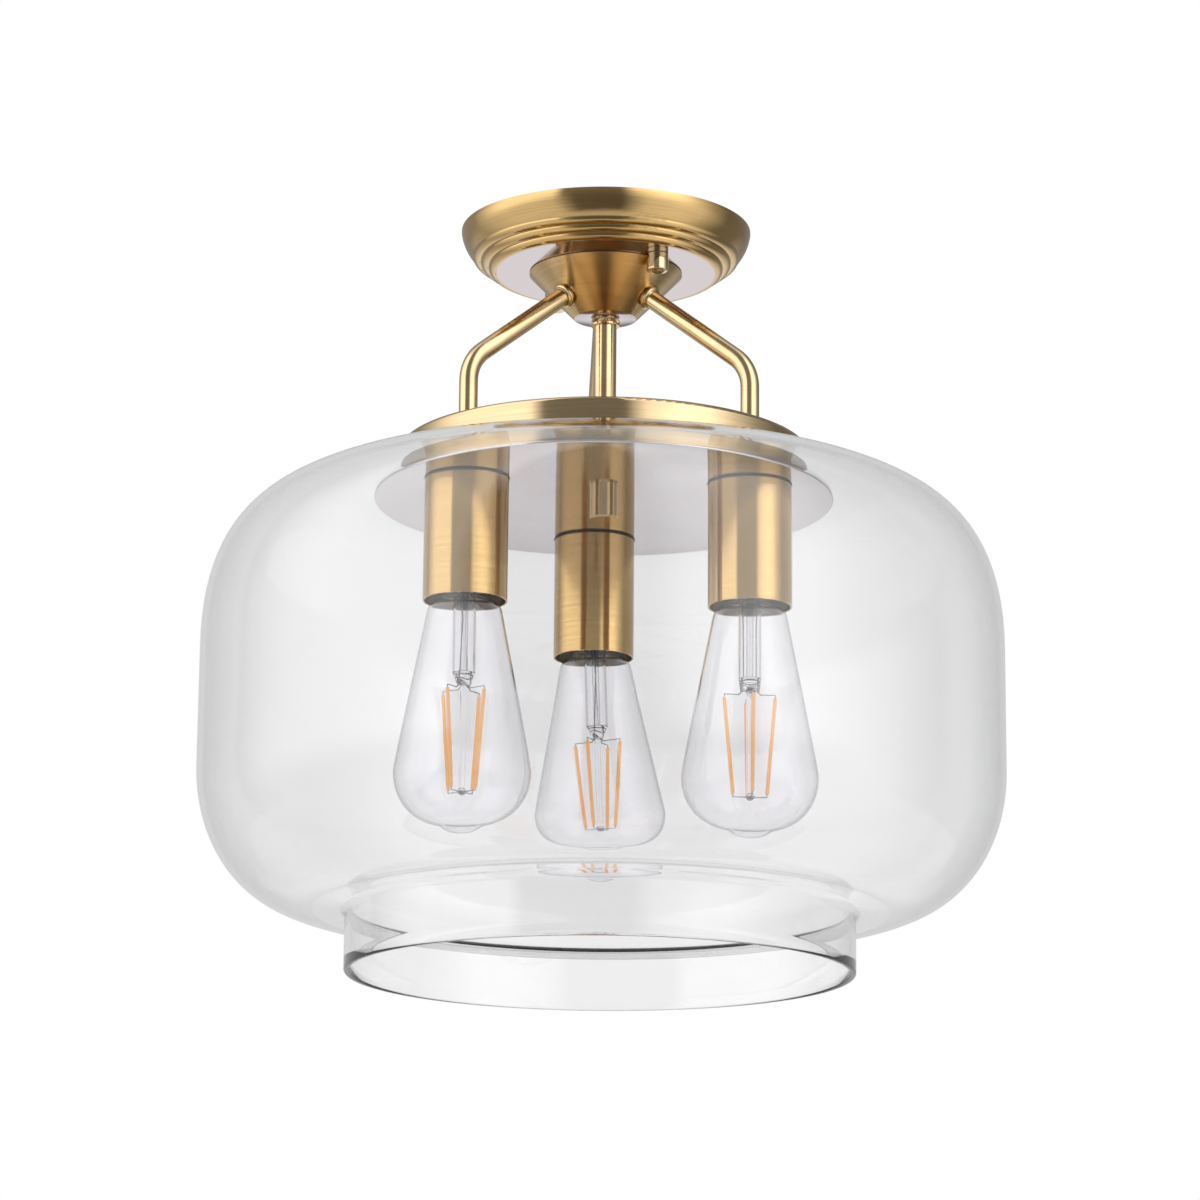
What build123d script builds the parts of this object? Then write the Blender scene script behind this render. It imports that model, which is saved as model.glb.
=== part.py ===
from build123d import *
import math
import os

# Three-lamp semi flush ceiling light: a flared canopy and cone hub, three bent arms and a
# centre rod that carry a spun cap, a polished plate that carries a blown glass shade, and
# three lamp sockets that reach down through the plate into the shade.
# Millimetres, +Z up. The origin is on the ceiling plane, on the light's own axis, so every
# piece lies at or below Z = 0. Lamp 1 is at the back (+Y), lamps 2 and 3 are at the front.

# ---------------------------------------------------------------- driving dimensions
LAMP_COUNT = 3
LAMP_CIRCLE_R = 77.4        # axes of the sockets and of the arms' straight ends
FIRST_LAMP_ANGLE = 90.0

FIT = 0.1                   # gap between a fixed piece and the hole it sits in
SEAT = 0.3                  # gap where a curved piece rests beside another

CANOPY_R = 70.5
CANOPY_DEPTH = 21.0
CANOPY_WALL = 1.2
CANOPY_FLAT_R = 53.3        # edge of the flat underside
CANOPY_LIP = 1.5            # short upright band at the ceiling
CANOPY_BOWL_END = (65.0, -12.5)     # where the smooth wall meets the first ring
CANOPY_BOWL_SAG = 0.9
CANOPY_RINGS = 3
CANOPY_RING_SAG = 1.1

HUB_CORNER_R = 37.6         # cone's top corner before it is rounded
HUB_LIP_R = 2.6
HUB_FOOT_R = 14.9
HUB_HEIGHT = 23.0
HUB_WALL = 3.0
HUB_MOUTH_R = 29.0          # opening against the canopy

ROD_R = 5.5
COLLAR_R = 6.8
COLLAR_HEIGHT = 3.7
COLLAR_NECK_R = 5.9
COLLAR_NECK = 0.9

NIPPLE_R = 4.0              # thread on the hub nipple, the centre stud and the arm ends
NIPPLE_BORE_R = 2.6
NIPPLE_TOP_DEPTH = 7.0
NIPPLE_IN_ROD = 13.0
NUT_ACROSS_FLATS = 13.0
NUT_THICK = 4.5
WASHER_R = 9.0
WASHER_THICK = 1.5

ARM_R = 4.45
ARM_BORE_R = 3.2
ARM_BEND_R = 20.0
ARM_SLOPE = 38.1            # degrees below level
ARM_ROOT_Z = -35.6          # where the arm's axis leaves the cone
FERRULE_R = 5.9
FERRULE_STEP_R = 5.2
FERRULE_LENGTH = 2.6
FERRULE_STEP = 0.9
ARM_NUT_ACROSS_FLATS = 12.7
ARM_NUT_THICK = 3.0
ARM_NUT_SETBACK = 1.4       # flat nut against the cone's curved inside
ARM_THREAD_PAST_NUT = 1.0

CAP_PAST_CUPS = 1.7         # the cap's edge beyond the socket cups
CAP_TOP_Z = -111.0
CAP_WALL = 1.2
CAP_CORNER_R = 2.0

PLATE_LEDGE = 11.7          # the plate's edge beyond the cap
PLATE_TOP_Z = -133.5
PLATE_THICK = 1.4
PLATE_HOLE_GAP = 0.4        # round each socket cup
PLATE_EDGE_R = 0.4

SHADE_R = 191.6
SHADE_WALL = 2.8
SHADE_HOLE_GAP = 2.0        # round the cap's wall
SHADE_SEAT_WIDTH = 11.0     # flat ground seat round the hole
SHADE_WAIST_TOP_Z = -211.7
SHADE_WAIST_FOOT_Z = -269.8
SHADE_TOP_PULL = (45.2, 65.5)       # how far the upper shoulder's curve keeps its ends' directions
SHADE_FOOT_PULL = (34.3, 35.6)      # the same for the lower shoulder
SHADE_FOOT_R = 135.8
SHADE_FOOT_Z = -336.3
SHADE_NECK_R = 120.3
SHADE_NECK_FILLET = 4.0
SHADE_END_Z = -365.6        # lowest edge of the glass
SHADE_RIM_ROUND = 0.45      # fire-polished rim, as a share of the wall

STUD_TO_FINIAL = 8.0
STUD_IN_ROD = 16.0
FINIAL_R = 6.7
FINIAL_LENGTH = 9.8
FINIAL_FLARE_R = 7.3
FINIAL_FLARE = 1.3
FINIAL_BORE_DEPTH = 8.6

CUP_R = 19.9
CUP_WALL = 0.8
CUP_MOUTH_Z = -195.9
CUP_EDGE_R = 1.0
HOLDER_GAP = 0.7            # lampholder body to cup
HOLDER_MOUTH_Z = -190.0
HOLDER_TOP_THICK = 12.0
HOLDER_BORE_R = 14.2
HOLDER_SHELL_TOP_Z = -151.0
ARM_END_BELOW_NUT = 9.0
SHELL_R = 14.0
SHELL_WALL = 0.4
SHELL_LIP_Z = -188.5
CONTACT_WIDTH = 6.0
CONTACT_THICK = 0.7
CONTACT_REACH = 9.0         # half length of the riveted foot of the contact

# medium screw lamp with a clear teardrop glass
LAMP_R = 32.1
LAMP_EQUATOR_Z = -277.5
LAMP_END_Z = -306.5
LAMP_NECK_R = 17.0
LAMP_NECK_Z = -197.0
LAMP_THROAT_R = 12.2
LAMP_THROAT_Z = -190.8
LAMP_THROAT_TOP_Z = -176.0
LAMP_PIP_R = 9.6
LAMP_PIP_Z = -302.2
LAMP_WALL = 1.0
LAMP_NECK_LEAN = 0.15       # outward run of the neck per mm down
LAMP_NECK_PULL = (3.0, 25.4)        # how far each curve keeps the direction of its ends
LAMP_BELLY_PULL = (4.0, 11.5)
LAMP_PIP_PULL = (12.0, 2.8)
LAMP_PIP_ROUND = (2.6, 1.6)
LAMP_CAP_R = 13.1
LAMP_CAP_WALL = 0.5
LAMP_CAP_TOP_Z = -165.2
LAMP_CAP_LENGTH = 25.3
LAMP_CAP_SHOULDER = 1.4
LAMP_TIP_R = 6.4
LAMP_TIP_BUTTON_R = 4.6
LAMP_TIP_Z = -163.4
LAMP_STEM_R = 5.35
LAMP_STEM_WALL = 1.0
LAMP_STEM_FOOT_Z = -230.5
LAMP_PRESS_FOOT_Z = -236.6
LAMP_PRESS_HALF = (4.7, 1.7)
LAMP_ROD_R = 1.3
FILAMENTS = 4
FILAMENT_TURNS = (62.0, 51.0, 3.0)      # where each lamp's thread came to a stop
FILAMENT_R = 0.95
FILAMENT_TOP = (12.1, -239.5)
FILAMENT_FOOT = (8.0, -285.5)
FILAMENT_WIRE_R = 0.4
FILAMENT_PIN = 1.6
SPIDER_R = 2.2

BRACKET_THICK = 1.6
BRACKET_WIDTH = 22.0
BOX_SLOT_CENTRES = 79.4     # middle of the 70 to 89 mm spacing of ceiling boxes
BOX_SLOT_LENGTH = 14.4
BOX_SLOT_WIDTH = 4.8
BOX_STRAP_LENGTH = 114.0
STUD_STRAP_LENGTH = 102.0
EYELET_R = 7.0
EYELET_WALL = 1.0
EYELET_FLANGE_R = 9.5
EYELET_FLANGE = 0.8
CANOPY_STUD_R = 2.08        # number 8-32 machine thread
CANOPY_STUD_CIRCLE_R = 40.9
CANOPY_STUD_ANGLE = -56.0
CANOPY_NUT_ACROSS_FLATS = 8.7
CANOPY_NUT_THICK = 3.0
CAP_NUT_R = 5.25
CAP_NUT_COLLAR = 2.6
CAP_NUT_GROOVE = 0.5
CAP_NUT_GROOVE_R = 4.7
CAP_NUT_LENGTH = 6.2
CAP_NUT_ROUND = 1.2
CAP_NUT_DISH_R = 3.0        # shallow turned dish in the nut's end
CAP_NUT_DISH_DEPTH = 0.4
CAP_NUT_BORE_DEPTH = 5.2
CAP_NUT_THREAD = 4.8        # how far the stud reaches into the nut
GROUND_SCREW_X = 24.0
GROUND_SCREW_R = 2.4
GROUND_HEAD_R = 4.2
GROUND_HEAD_HEIGHT = 2.4
GROUND_SCREW_LENGTH = 6.0

# ---------------------------------------------------------------- places worked out from them
HUB_FOOT_Z = -CANOPY_DEPTH - HUB_HEIGHT
HUB_RUN = (HUB_CORNER_R - HUB_FOOT_R) / HUB_HEIGHT      # radius gained per mm of height
HUB_WALL_LEVEL = HUB_WALL * math.hypot(1, HUB_RUN)      # the wall measured level
COLLAR_FOOT_Z = HUB_FOOT_Z - COLLAR_HEIGHT
ARM_RISE = math.tan(math.radians(ARM_SLOPE))
ARM_ROOT_R = HUB_FOOT_R + (ARM_ROOT_Z - HUB_FOOT_Z) * HUB_RUN
ARM_CORNER_Z = ARM_ROOT_Z - (LAMP_CIRCLE_R - ARM_ROOT_R) * ARM_RISE
ARM_OUT = math.cos(math.radians(ARM_SLOPE))
ARM_DOWN = math.sin(math.radians(ARM_SLOPE))
CAP_UNDER_Z = CAP_TOP_Z - CAP_WALL
CUP_NUT_Z = CAP_UNDER_Z - CAP_WALL - NUT_THICK          # underside of the nut inside a cup
ARM_END_Z = CUP_NUT_Z - ARM_END_BELOW_NUT
PLATE_UNDER_Z = PLATE_TOP_Z - PLATE_THICK
CAP_R = LAMP_CIRCLE_R + CUP_R + CAP_PAST_CUPS
PLATE_R = CAP_R + PLATE_LEDGE
SHADE_HOLE_R = CAP_R + SHADE_HOLE_GAP
SHADE_SEAT_R = SHADE_HOLE_R + SHADE_SEAT_WIDTH
SHADE_TOP_Z = PLATE_TOP_Z + SHADE_WALL
HOLDER_R = CUP_R - CUP_WALL - HOLDER_GAP
THREAD_HOLE_R = NIPPLE_R + FIT
BRACKET_UNDER_Z = -2 * BRACKET_THICK
CAP_NUT_TOP_Z = -CANOPY_DEPTH - CAP_NUT_COLLAR
LAMP_ANGLES = [FIRST_LAMP_ANGLE + k * 360 / LAMP_COUNT for k in range(LAMP_COUNT)]
STUD_ANGLES = [CANOPY_STUD_ANGLE, CANOPY_STUD_ANGLE + 180]

os.makedirs("parts", exist_ok=True)


def keep(part, label):
    """Labels a finished piece and writes it."""
    part.label = label
    export_step(part, f"parts/{label}.step")


def at(angle, radius, z=0.0):
    """A point on the circle of this radius round the light's axis."""
    turn = math.radians(angle)
    return (radius * math.cos(turn), radius * math.sin(turn), z)


def upright(angle, radius=0.0):
    """An upright plane with its x pointing outward at this angle and its y pointing up."""
    turn = math.radians(angle)
    return Plane(
        origin=at(angle, radius),
        x_dir=(math.cos(turn), math.sin(turn), 0),
        z_dir=(math.sin(turn), -math.cos(turn), 0),
    )


def upright_axis(angle, radius):
    """The vertical line through that point."""
    return Axis(at(angle, radius), (0, 0, 1))


def hex_nuts(planes, across_flats, bore_r, thick):
    """One hexagon nut on each plane, growing along the plane's normal."""
    with BuildPart() as nuts:
        for plane in planes:
            with BuildSketch(plane):
                RegularPolygon(across_flats / 2, 6, major_radius=False)
                Circle(bore_r, mode=Mode.SUBTRACT)
            extrude(amount=thick)
    return nuts.part


# ---------------------------------------------------------------- bracket behind the canopy
# Two pressed steel straps crossed on a hollow rivet. The upper one is slotted for the
# screws of the ceiling box, the lower one is tapped for the two canopy studs.
with BuildPart() as box_strap:
    with BuildSketch(Plane.XY.offset(-BRACKET_THICK)):
        SlotOverall(BOX_STRAP_LENGTH, BRACKET_WIDTH)
        Circle(EYELET_R + FIT, mode=Mode.SUBTRACT)
        with Locations((-BOX_SLOT_CENTRES / 2, 0), (BOX_SLOT_CENTRES / 2, 0)):
            SlotOverall(BOX_SLOT_LENGTH, BOX_SLOT_WIDTH, mode=Mode.SUBTRACT)
        with Locations((GROUND_SCREW_X, 0)):
            Circle(GROUND_SCREW_R + FIT, mode=Mode.SUBTRACT)
    extrude(amount=BRACKET_THICK)
keep(box_strap.part, "box_strap")

with BuildPart() as stud_strap:
    with BuildSketch(Plane.XY.offset(BRACKET_UNDER_Z).rotated((0, 0, CANOPY_STUD_ANGLE))):
        SlotOverall(STUD_STRAP_LENGTH, BRACKET_WIDTH)
        Circle(EYELET_R + FIT, mode=Mode.SUBTRACT)
        with Locations((-CANOPY_STUD_CIRCLE_R, 0), (CANOPY_STUD_CIRCLE_R, 0)):
            Circle(CANOPY_STUD_R + FIT, mode=Mode.SUBTRACT)
    extrude(amount=BRACKET_THICK)
keep(stud_strap.part, "stud_strap")

with BuildPart() as strap_eyelet:
    with BuildSketch(Plane.XZ):
        with BuildLine():
            Polyline(
                (EYELET_R - EYELET_WALL, 0),
                (EYELET_R, 0),
                (EYELET_R, BRACKET_UNDER_Z),
                (EYELET_FLANGE_R, BRACKET_UNDER_Z),
                (EYELET_FLANGE_R, BRACKET_UNDER_Z - EYELET_FLANGE),
                (EYELET_R - EYELET_WALL, BRACKET_UNDER_Z - EYELET_FLANGE),
                close=True,
            )
        make_face()
    revolve(axis=Axis.Z)
keep(strap_eyelet.part, "strap_eyelet")

with BuildPart() as ground_screw:
    with BuildSketch(Plane.XY):
        with Locations((GROUND_SCREW_X, 0)):
            Circle(GROUND_SCREW_R)
    extrude(amount=-GROUND_SCREW_LENGTH)
    with BuildSketch(Plane.XY.offset(-BRACKET_THICK)):
        with Locations((GROUND_SCREW_X, 0)):
            Circle(GROUND_HEAD_R)
    extrude(amount=-GROUND_HEAD_HEIGHT)
keep(ground_screw.part, "ground_screw")

CANOPY_STUD_END_Z = CAP_NUT_TOP_Z - CAP_NUT_THREAD
with BuildPart() as canopy_studs:
    with BuildSketch(Plane.XY):
        for stud_angle in STUD_ANGLES:
            with Locations(at(stud_angle, CANOPY_STUD_CIRCLE_R)[:2]):
                Circle(CANOPY_STUD_R)
    extrude(amount=CANOPY_STUD_END_Z)
keep(canopy_studs.part, "canopy_studs")

keep(
    hex_nuts(
        [
            Plane(at(stud_angle, CANOPY_STUD_CIRCLE_R, BRACKET_UNDER_Z - CANOPY_NUT_THICK))
            for stud_angle in STUD_ANGLES
        ],
        CANOPY_NUT_ACROSS_FLATS,
        CANOPY_STUD_R + FIT,
        CANOPY_NUT_THICK,
    ),
    "stud_locknuts",
)

# ---------------------------------------------------------------- canopy
# Spun brass: an upright lip at the ceiling, a bowed wall, three rolled rings that step in
# to a flat underside, all of one thickness.
RING_START = Vector(*CANOPY_BOWL_END)
RING_STEP = (Vector(CANOPY_FLAT_R, -CANOPY_DEPTH) - RING_START) / CANOPY_RINGS
with BuildPart() as canopy:
    with BuildSketch(Plane.XZ):
        with BuildLine():
            Line((CANOPY_R, 0), (CANOPY_R, -CANOPY_LIP))
            SagittaArc((CANOPY_R, -CANOPY_LIP), CANOPY_BOWL_END, CANOPY_BOWL_SAG)
            for ring in range(CANOPY_RINGS):
                SagittaArc(
                    RING_START + RING_STEP * ring,
                    RING_START + RING_STEP * (ring + 1),
                    CANOPY_RING_SAG,
                )
            Polyline(
                (CANOPY_FLAT_R, -CANOPY_DEPTH),
                (THREAD_HOLE_R, -CANOPY_DEPTH),
                (THREAD_HOLE_R, CANOPY_WALL - CANOPY_DEPTH),
                (CANOPY_FLAT_R - CANOPY_WALL, CANOPY_WALL - CANOPY_DEPTH),
                (CANOPY_BOWL_END[0] - CANOPY_WALL, CANOPY_BOWL_END[1] + CANOPY_WALL / 2),
                (CANOPY_R - CANOPY_WALL, -CANOPY_LIP),
                (CANOPY_R - CANOPY_WALL, 0),
                (CANOPY_R, 0),
            )
        make_face()
    revolve(axis=Axis.Z)
    with BuildSketch(Plane.XY.offset(-CANOPY_DEPTH)):
        for stud_angle in STUD_ANGLES:
            with Locations(at(stud_angle, CANOPY_STUD_CIRCLE_R)[:2]):
                Circle(CANOPY_STUD_R + FIT)
    extrude(amount=CANOPY_WALL, mode=Mode.SUBTRACT)
keep(canopy.part, "canopy")

# Each decorative cap nut is a loose collar and a blind nut below it.
for number, stud_angle in enumerate(STUD_ANGLES, start=1):
    with BuildPart() as cap_nut_collar:
        with BuildSketch(upright(stud_angle, CANOPY_STUD_CIRCLE_R)):
            with BuildLine():
                Polyline(
                    (CANOPY_STUD_R + FIT, -CANOPY_DEPTH),
                    (CAP_NUT_R, -CANOPY_DEPTH),
                    (CAP_NUT_R, CAP_NUT_TOP_Z + CAP_NUT_GROOVE),
                    (CAP_NUT_GROOVE_R, CAP_NUT_TOP_Z + CAP_NUT_GROOVE),
                    (CAP_NUT_GROOVE_R, CAP_NUT_TOP_Z),
                    (CANOPY_STUD_R + FIT, CAP_NUT_TOP_Z),
                    close=True,
                )
            make_face()
        revolve(axis=upright_axis(stud_angle, CANOPY_STUD_CIRCLE_R))
        fillet(cap_nut_collar.edges().group_by(Axis.Z)[-1].sort_by(SortBy.LENGTH)[-1:], CAP_NUT_GROOVE)
    keep(cap_nut_collar.part, f"cap_nut_collar_{number}")

    with BuildPart() as cap_nut:
        with BuildSketch(upright(stud_angle, CANOPY_STUD_CIRCLE_R)):
            with BuildLine():
                Polyline(
                    (CANOPY_STUD_R + FIT, CAP_NUT_TOP_Z),
                    (CAP_NUT_R, CAP_NUT_TOP_Z),
                    (CAP_NUT_R, CAP_NUT_TOP_Z - CAP_NUT_LENGTH + CAP_NUT_ROUND),
                )
                RadiusArc(
                    (CAP_NUT_R, CAP_NUT_TOP_Z - CAP_NUT_LENGTH + CAP_NUT_ROUND),
                    (CAP_NUT_R - CAP_NUT_ROUND, CAP_NUT_TOP_Z - CAP_NUT_LENGTH),
                    CAP_NUT_ROUND,
                )
                Polyline(
                    (CAP_NUT_R - CAP_NUT_ROUND, CAP_NUT_TOP_Z - CAP_NUT_LENGTH),
                    (CAP_NUT_DISH_R, CAP_NUT_TOP_Z - CAP_NUT_LENGTH),
                    (0, CAP_NUT_TOP_Z - CAP_NUT_LENGTH + CAP_NUT_DISH_DEPTH),
                    (0, CAP_NUT_TOP_Z - CAP_NUT_BORE_DEPTH),
                    (CANOPY_STUD_R + FIT, CAP_NUT_TOP_Z - CAP_NUT_BORE_DEPTH),
                    (CANOPY_STUD_R + FIT, CAP_NUT_TOP_Z),
                )
            make_face()
        revolve(axis=upright_axis(stud_angle, CANOPY_STUD_CIRCLE_R))
    keep(cap_nut.part, f"cap_nut_{number}")

# ---------------------------------------------------------------- hub and centre column
# The hub is a turned cone, open at the top against the canopy, with a hole square to each
# arm. Its cavity takes the arms' nuts.
HUB_MOUTH_CORNER_Z = HUB_FOOT_Z + (HUB_MOUTH_R + HUB_WALL_LEVEL - HUB_FOOT_R) / HUB_RUN
HUB_FLOOR_Z = HUB_FOOT_Z + HUB_WALL
HUB_FLOOR_R = HUB_FOOT_R + HUB_WALL * HUB_RUN - HUB_WALL_LEVEL


def arm_plane(angle, along):
    """A plane square to an arm's sloping run, this far out along it from the cone."""
    turn = math.radians(angle)
    return Plane(
        origin=at(angle, ARM_ROOT_R + along * ARM_OUT, ARM_ROOT_Z - along * ARM_DOWN),
        z_dir=(ARM_OUT * math.cos(turn), ARM_OUT * math.sin(turn), -ARM_DOWN),
    )


with BuildPart() as hub:
    with BuildSketch(Plane.XZ) as hub_outline:
        with BuildLine():
            Polyline(
                (0, -CANOPY_DEPTH),
                (HUB_CORNER_R, -CANOPY_DEPTH),
                (HUB_FOOT_R, HUB_FOOT_Z),
                (0, HUB_FOOT_Z),
                close=True,
            )
        make_face()
        fillet(hub_outline.vertices().sort_by(Axis.X)[-1], HUB_LIP_R)
    revolve(axis=Axis.Z)
    hub_solid = hub.part
    with BuildSketch(Plane.XZ):
        with BuildLine():
            Polyline(
                (0, -CANOPY_DEPTH),
                (HUB_MOUTH_R, -CANOPY_DEPTH),
                (HUB_MOUTH_R, HUB_MOUTH_CORNER_Z),
                (HUB_FLOOR_R, HUB_FLOOR_Z),
                (0, HUB_FLOOR_Z),
                close=True,
            )
        make_face()
    revolve(axis=Axis.Z, mode=Mode.SUBTRACT)
    with BuildSketch(Plane.XY.offset(HUB_FOOT_Z)):
        Circle(THREAD_HOLE_R)
    extrude(amount=HUB_WALL, mode=Mode.SUBTRACT)
    for lamp_angle in LAMP_ANGLES:
        with BuildSketch(arm_plane(lamp_angle, -2 * HUB_WALL)):
            Circle(ARM_R + FIT)
        extrude(amount=3 * HUB_WALL, mode=Mode.SUBTRACT)
keep(hub.part, "hub")

with BuildPart() as hub_nipple:
    with BuildSketch(Plane.XY.offset(-NIPPLE_TOP_DEPTH)):
        Circle(NIPPLE_R)
        Circle(NIPPLE_BORE_R, mode=Mode.SUBTRACT)
    extrude(amount=COLLAR_FOOT_Z - NIPPLE_IN_ROD + NIPPLE_TOP_DEPTH)
keep(hub_nipple.part, "hub_nipple")

HUB_WASHER_Z = CANOPY_WALL - CANOPY_DEPTH
with BuildPart() as hub_washer:
    with BuildSketch(Plane.XY.offset(HUB_WASHER_Z)):
        Circle(WASHER_R)
        Circle(THREAD_HOLE_R, mode=Mode.SUBTRACT)
    extrude(amount=WASHER_THICK)
keep(hub_washer.part, "hub_washer")

keep(
    hex_nuts(
        [Plane.XY.offset(HUB_WASHER_Z + WASHER_THICK)],
        NUT_ACROSS_FLATS,
        THREAD_HOLE_R,
        NUT_THICK,
    ),
    "hub_nut",
)

with BuildPart() as rod_collar:
    with BuildSketch(Plane.XZ):
        with BuildLine():
            Polyline(
                (THREAD_HOLE_R, HUB_FOOT_Z),
                (COLLAR_NECK_R, HUB_FOOT_Z),
                (COLLAR_NECK_R, HUB_FOOT_Z - COLLAR_NECK),
                (COLLAR_R, HUB_FOOT_Z - COLLAR_NECK),
                (COLLAR_R, COLLAR_FOOT_Z),
                (THREAD_HOLE_R, COLLAR_FOOT_Z),
                close=True,
            )
        make_face()
    revolve(axis=Axis.Z)
keep(rod_collar.part, "rod_collar")

with BuildPart() as centre_rod:
    with BuildSketch(Plane.XY.offset(CAP_TOP_Z)):
        Circle(ROD_R)
        Circle(THREAD_HOLE_R, mode=Mode.SUBTRACT)
    extrude(amount=COLLAR_FOOT_Z - CAP_TOP_Z)
keep(centre_rod.part, "centre_rod")

# ---------------------------------------------------------------- arms
# One tube each: a sloping run out of the cone, one round bend and a straight drop with a
# shoulder that stands on the cap. The reduced thread below it reaches through cap and cup.
ARM_INNER_END = -(HUB_WALL + ARM_NUT_SETBACK + ARM_NUT_THICK + ARM_THREAD_PAST_NUT)
ARM_NUT_NEAR = -(HUB_WALL + ARM_NUT_SETBACK + ARM_NUT_THICK)
for number, lamp_angle in enumerate(LAMP_ANGLES, start=1):
    with BuildPart() as arm:
        with BuildLine(upright(lamp_angle)) as arm_line:
            FilletPolyline(
                (ARM_ROOT_R + ARM_INNER_END * ARM_OUT, ARM_ROOT_Z - ARM_INNER_END * ARM_DOWN),
                (LAMP_CIRCLE_R, ARM_CORNER_Z),
                (LAMP_CIRCLE_R, CAP_TOP_Z),
                radius=ARM_BEND_R,
            )
        with BuildSketch(arm_plane(lamp_angle, ARM_INNER_END)):
            Circle(ARM_R)
            Circle(ARM_BORE_R, mode=Mode.SUBTRACT)
        sweep(path=arm_line.line)
        with BuildSketch(Plane(at(lamp_angle, LAMP_CIRCLE_R, ARM_END_Z))):
            Circle(NIPPLE_R)
            Circle(ARM_BORE_R, mode=Mode.SUBTRACT)
        extrude(amount=CAP_TOP_Z - ARM_END_Z)
    keep(arm.part, f"arm_{number}")

    with BuildPart() as arm_ferrule:
        with BuildSketch(arm_plane(lamp_angle, -2 * HUB_WALL)):
            Circle(FERRULE_R)
        extrude(amount=2 * HUB_WALL + FERRULE_LENGTH - FERRULE_STEP)
        with BuildSketch(arm_plane(lamp_angle, 0)):
            Circle(FERRULE_STEP_R)
        extrude(amount=FERRULE_LENGTH)
        add(hub_solid, mode=Mode.SUBTRACT)
        with BuildSketch(arm_plane(lamp_angle, -2 * HUB_WALL)):
            Circle(ARM_R + FIT)
        extrude(amount=2 * HUB_WALL + FERRULE_LENGTH, mode=Mode.SUBTRACT)
    keep(arm_ferrule.part, f"arm_ferrule_{number}")

keep(
    hex_nuts(
        [arm_plane(lamp_angle, ARM_NUT_NEAR) for lamp_angle in LAMP_ANGLES],
        ARM_NUT_ACROSS_FLATS,
        ARM_R + FIT,
        ARM_NUT_THICK,
    ),
    "arm_inner_nuts",
)

# ---------------------------------------------------------------- cap, plate and finial
with BuildPart() as shade_cap:
    with BuildSketch(Plane.XZ) as cap_outline:
        with BuildLine():
            FilletPolyline(
                (0, CAP_TOP_Z),
                (CAP_R, CAP_TOP_Z),
                (CAP_R, PLATE_TOP_Z),
                radius=CAP_CORNER_R,
            )
            offset(amount=CAP_WALL, side=Side.RIGHT)
        make_face()
    revolve(axis=Axis.Z)
    with BuildSketch(Plane.XY.offset(CAP_UNDER_Z)):
        Circle(THREAD_HOLE_R)
        with PolarLocations(LAMP_CIRCLE_R, LAMP_COUNT, FIRST_LAMP_ANGLE):
            Circle(THREAD_HOLE_R)
    extrude(amount=CAP_WALL, mode=Mode.SUBTRACT)
keep(shade_cap.part, "shade_cap")

with BuildPart() as centre_stud:
    with BuildSketch(Plane.XY.offset(CAP_TOP_Z + STUD_IN_ROD)):
        Circle(NIPPLE_R)
    extrude(amount=PLATE_UNDER_Z - STUD_TO_FINIAL - CAP_TOP_Z - STUD_IN_ROD)
keep(centre_stud.part, "centre_stud")

keep(
    hex_nuts([Plane.XY.offset(CAP_UNDER_Z - NUT_THICK)], NUT_ACROSS_FLATS, THREAD_HOLE_R, NUT_THICK),
    "centre_stud_nut",
)

# The polished plate slides up over the three cups, carries the glass on its margin and is
# clamped to the cap's edge by the finial.
with BuildPart() as support_plate:
    with BuildSketch(Plane.XY.offset(PLATE_UNDER_Z)):
        Circle(PLATE_R)
        Circle(THREAD_HOLE_R, mode=Mode.SUBTRACT)
        with PolarLocations(LAMP_CIRCLE_R, LAMP_COUNT, FIRST_LAMP_ANGLE):
            Circle(CUP_R + PLATE_HOLE_GAP, mode=Mode.SUBTRACT)
    extrude(amount=PLATE_THICK)
    fillet(support_plate.edges().sort_by(SortBy.LENGTH)[-2:], PLATE_EDGE_R)
keep(support_plate.part, "support_plate")

FINIAL_FOOT_Z = PLATE_UNDER_Z - FINIAL_LENGTH
with BuildPart() as finial:
    with BuildSketch(Plane.XZ):
        with BuildLine():
            Polyline(
                (THREAD_HOLE_R, PLATE_UNDER_Z),
                (FINIAL_R, PLATE_UNDER_Z),
                (FINIAL_R, FINIAL_FOOT_Z + FINIAL_FLARE),
                (FINIAL_FLARE_R, FINIAL_FOOT_Z),
                (0, FINIAL_FOOT_Z),
                (0, PLATE_UNDER_Z - FINIAL_BORE_DEPTH),
                (THREAD_HOLE_R, PLATE_UNDER_Z - FINIAL_BORE_DEPTH),
                close=True,
            )
        make_face()
    revolve(axis=Axis.Z)
keep(finial.part, "finial")

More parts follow.
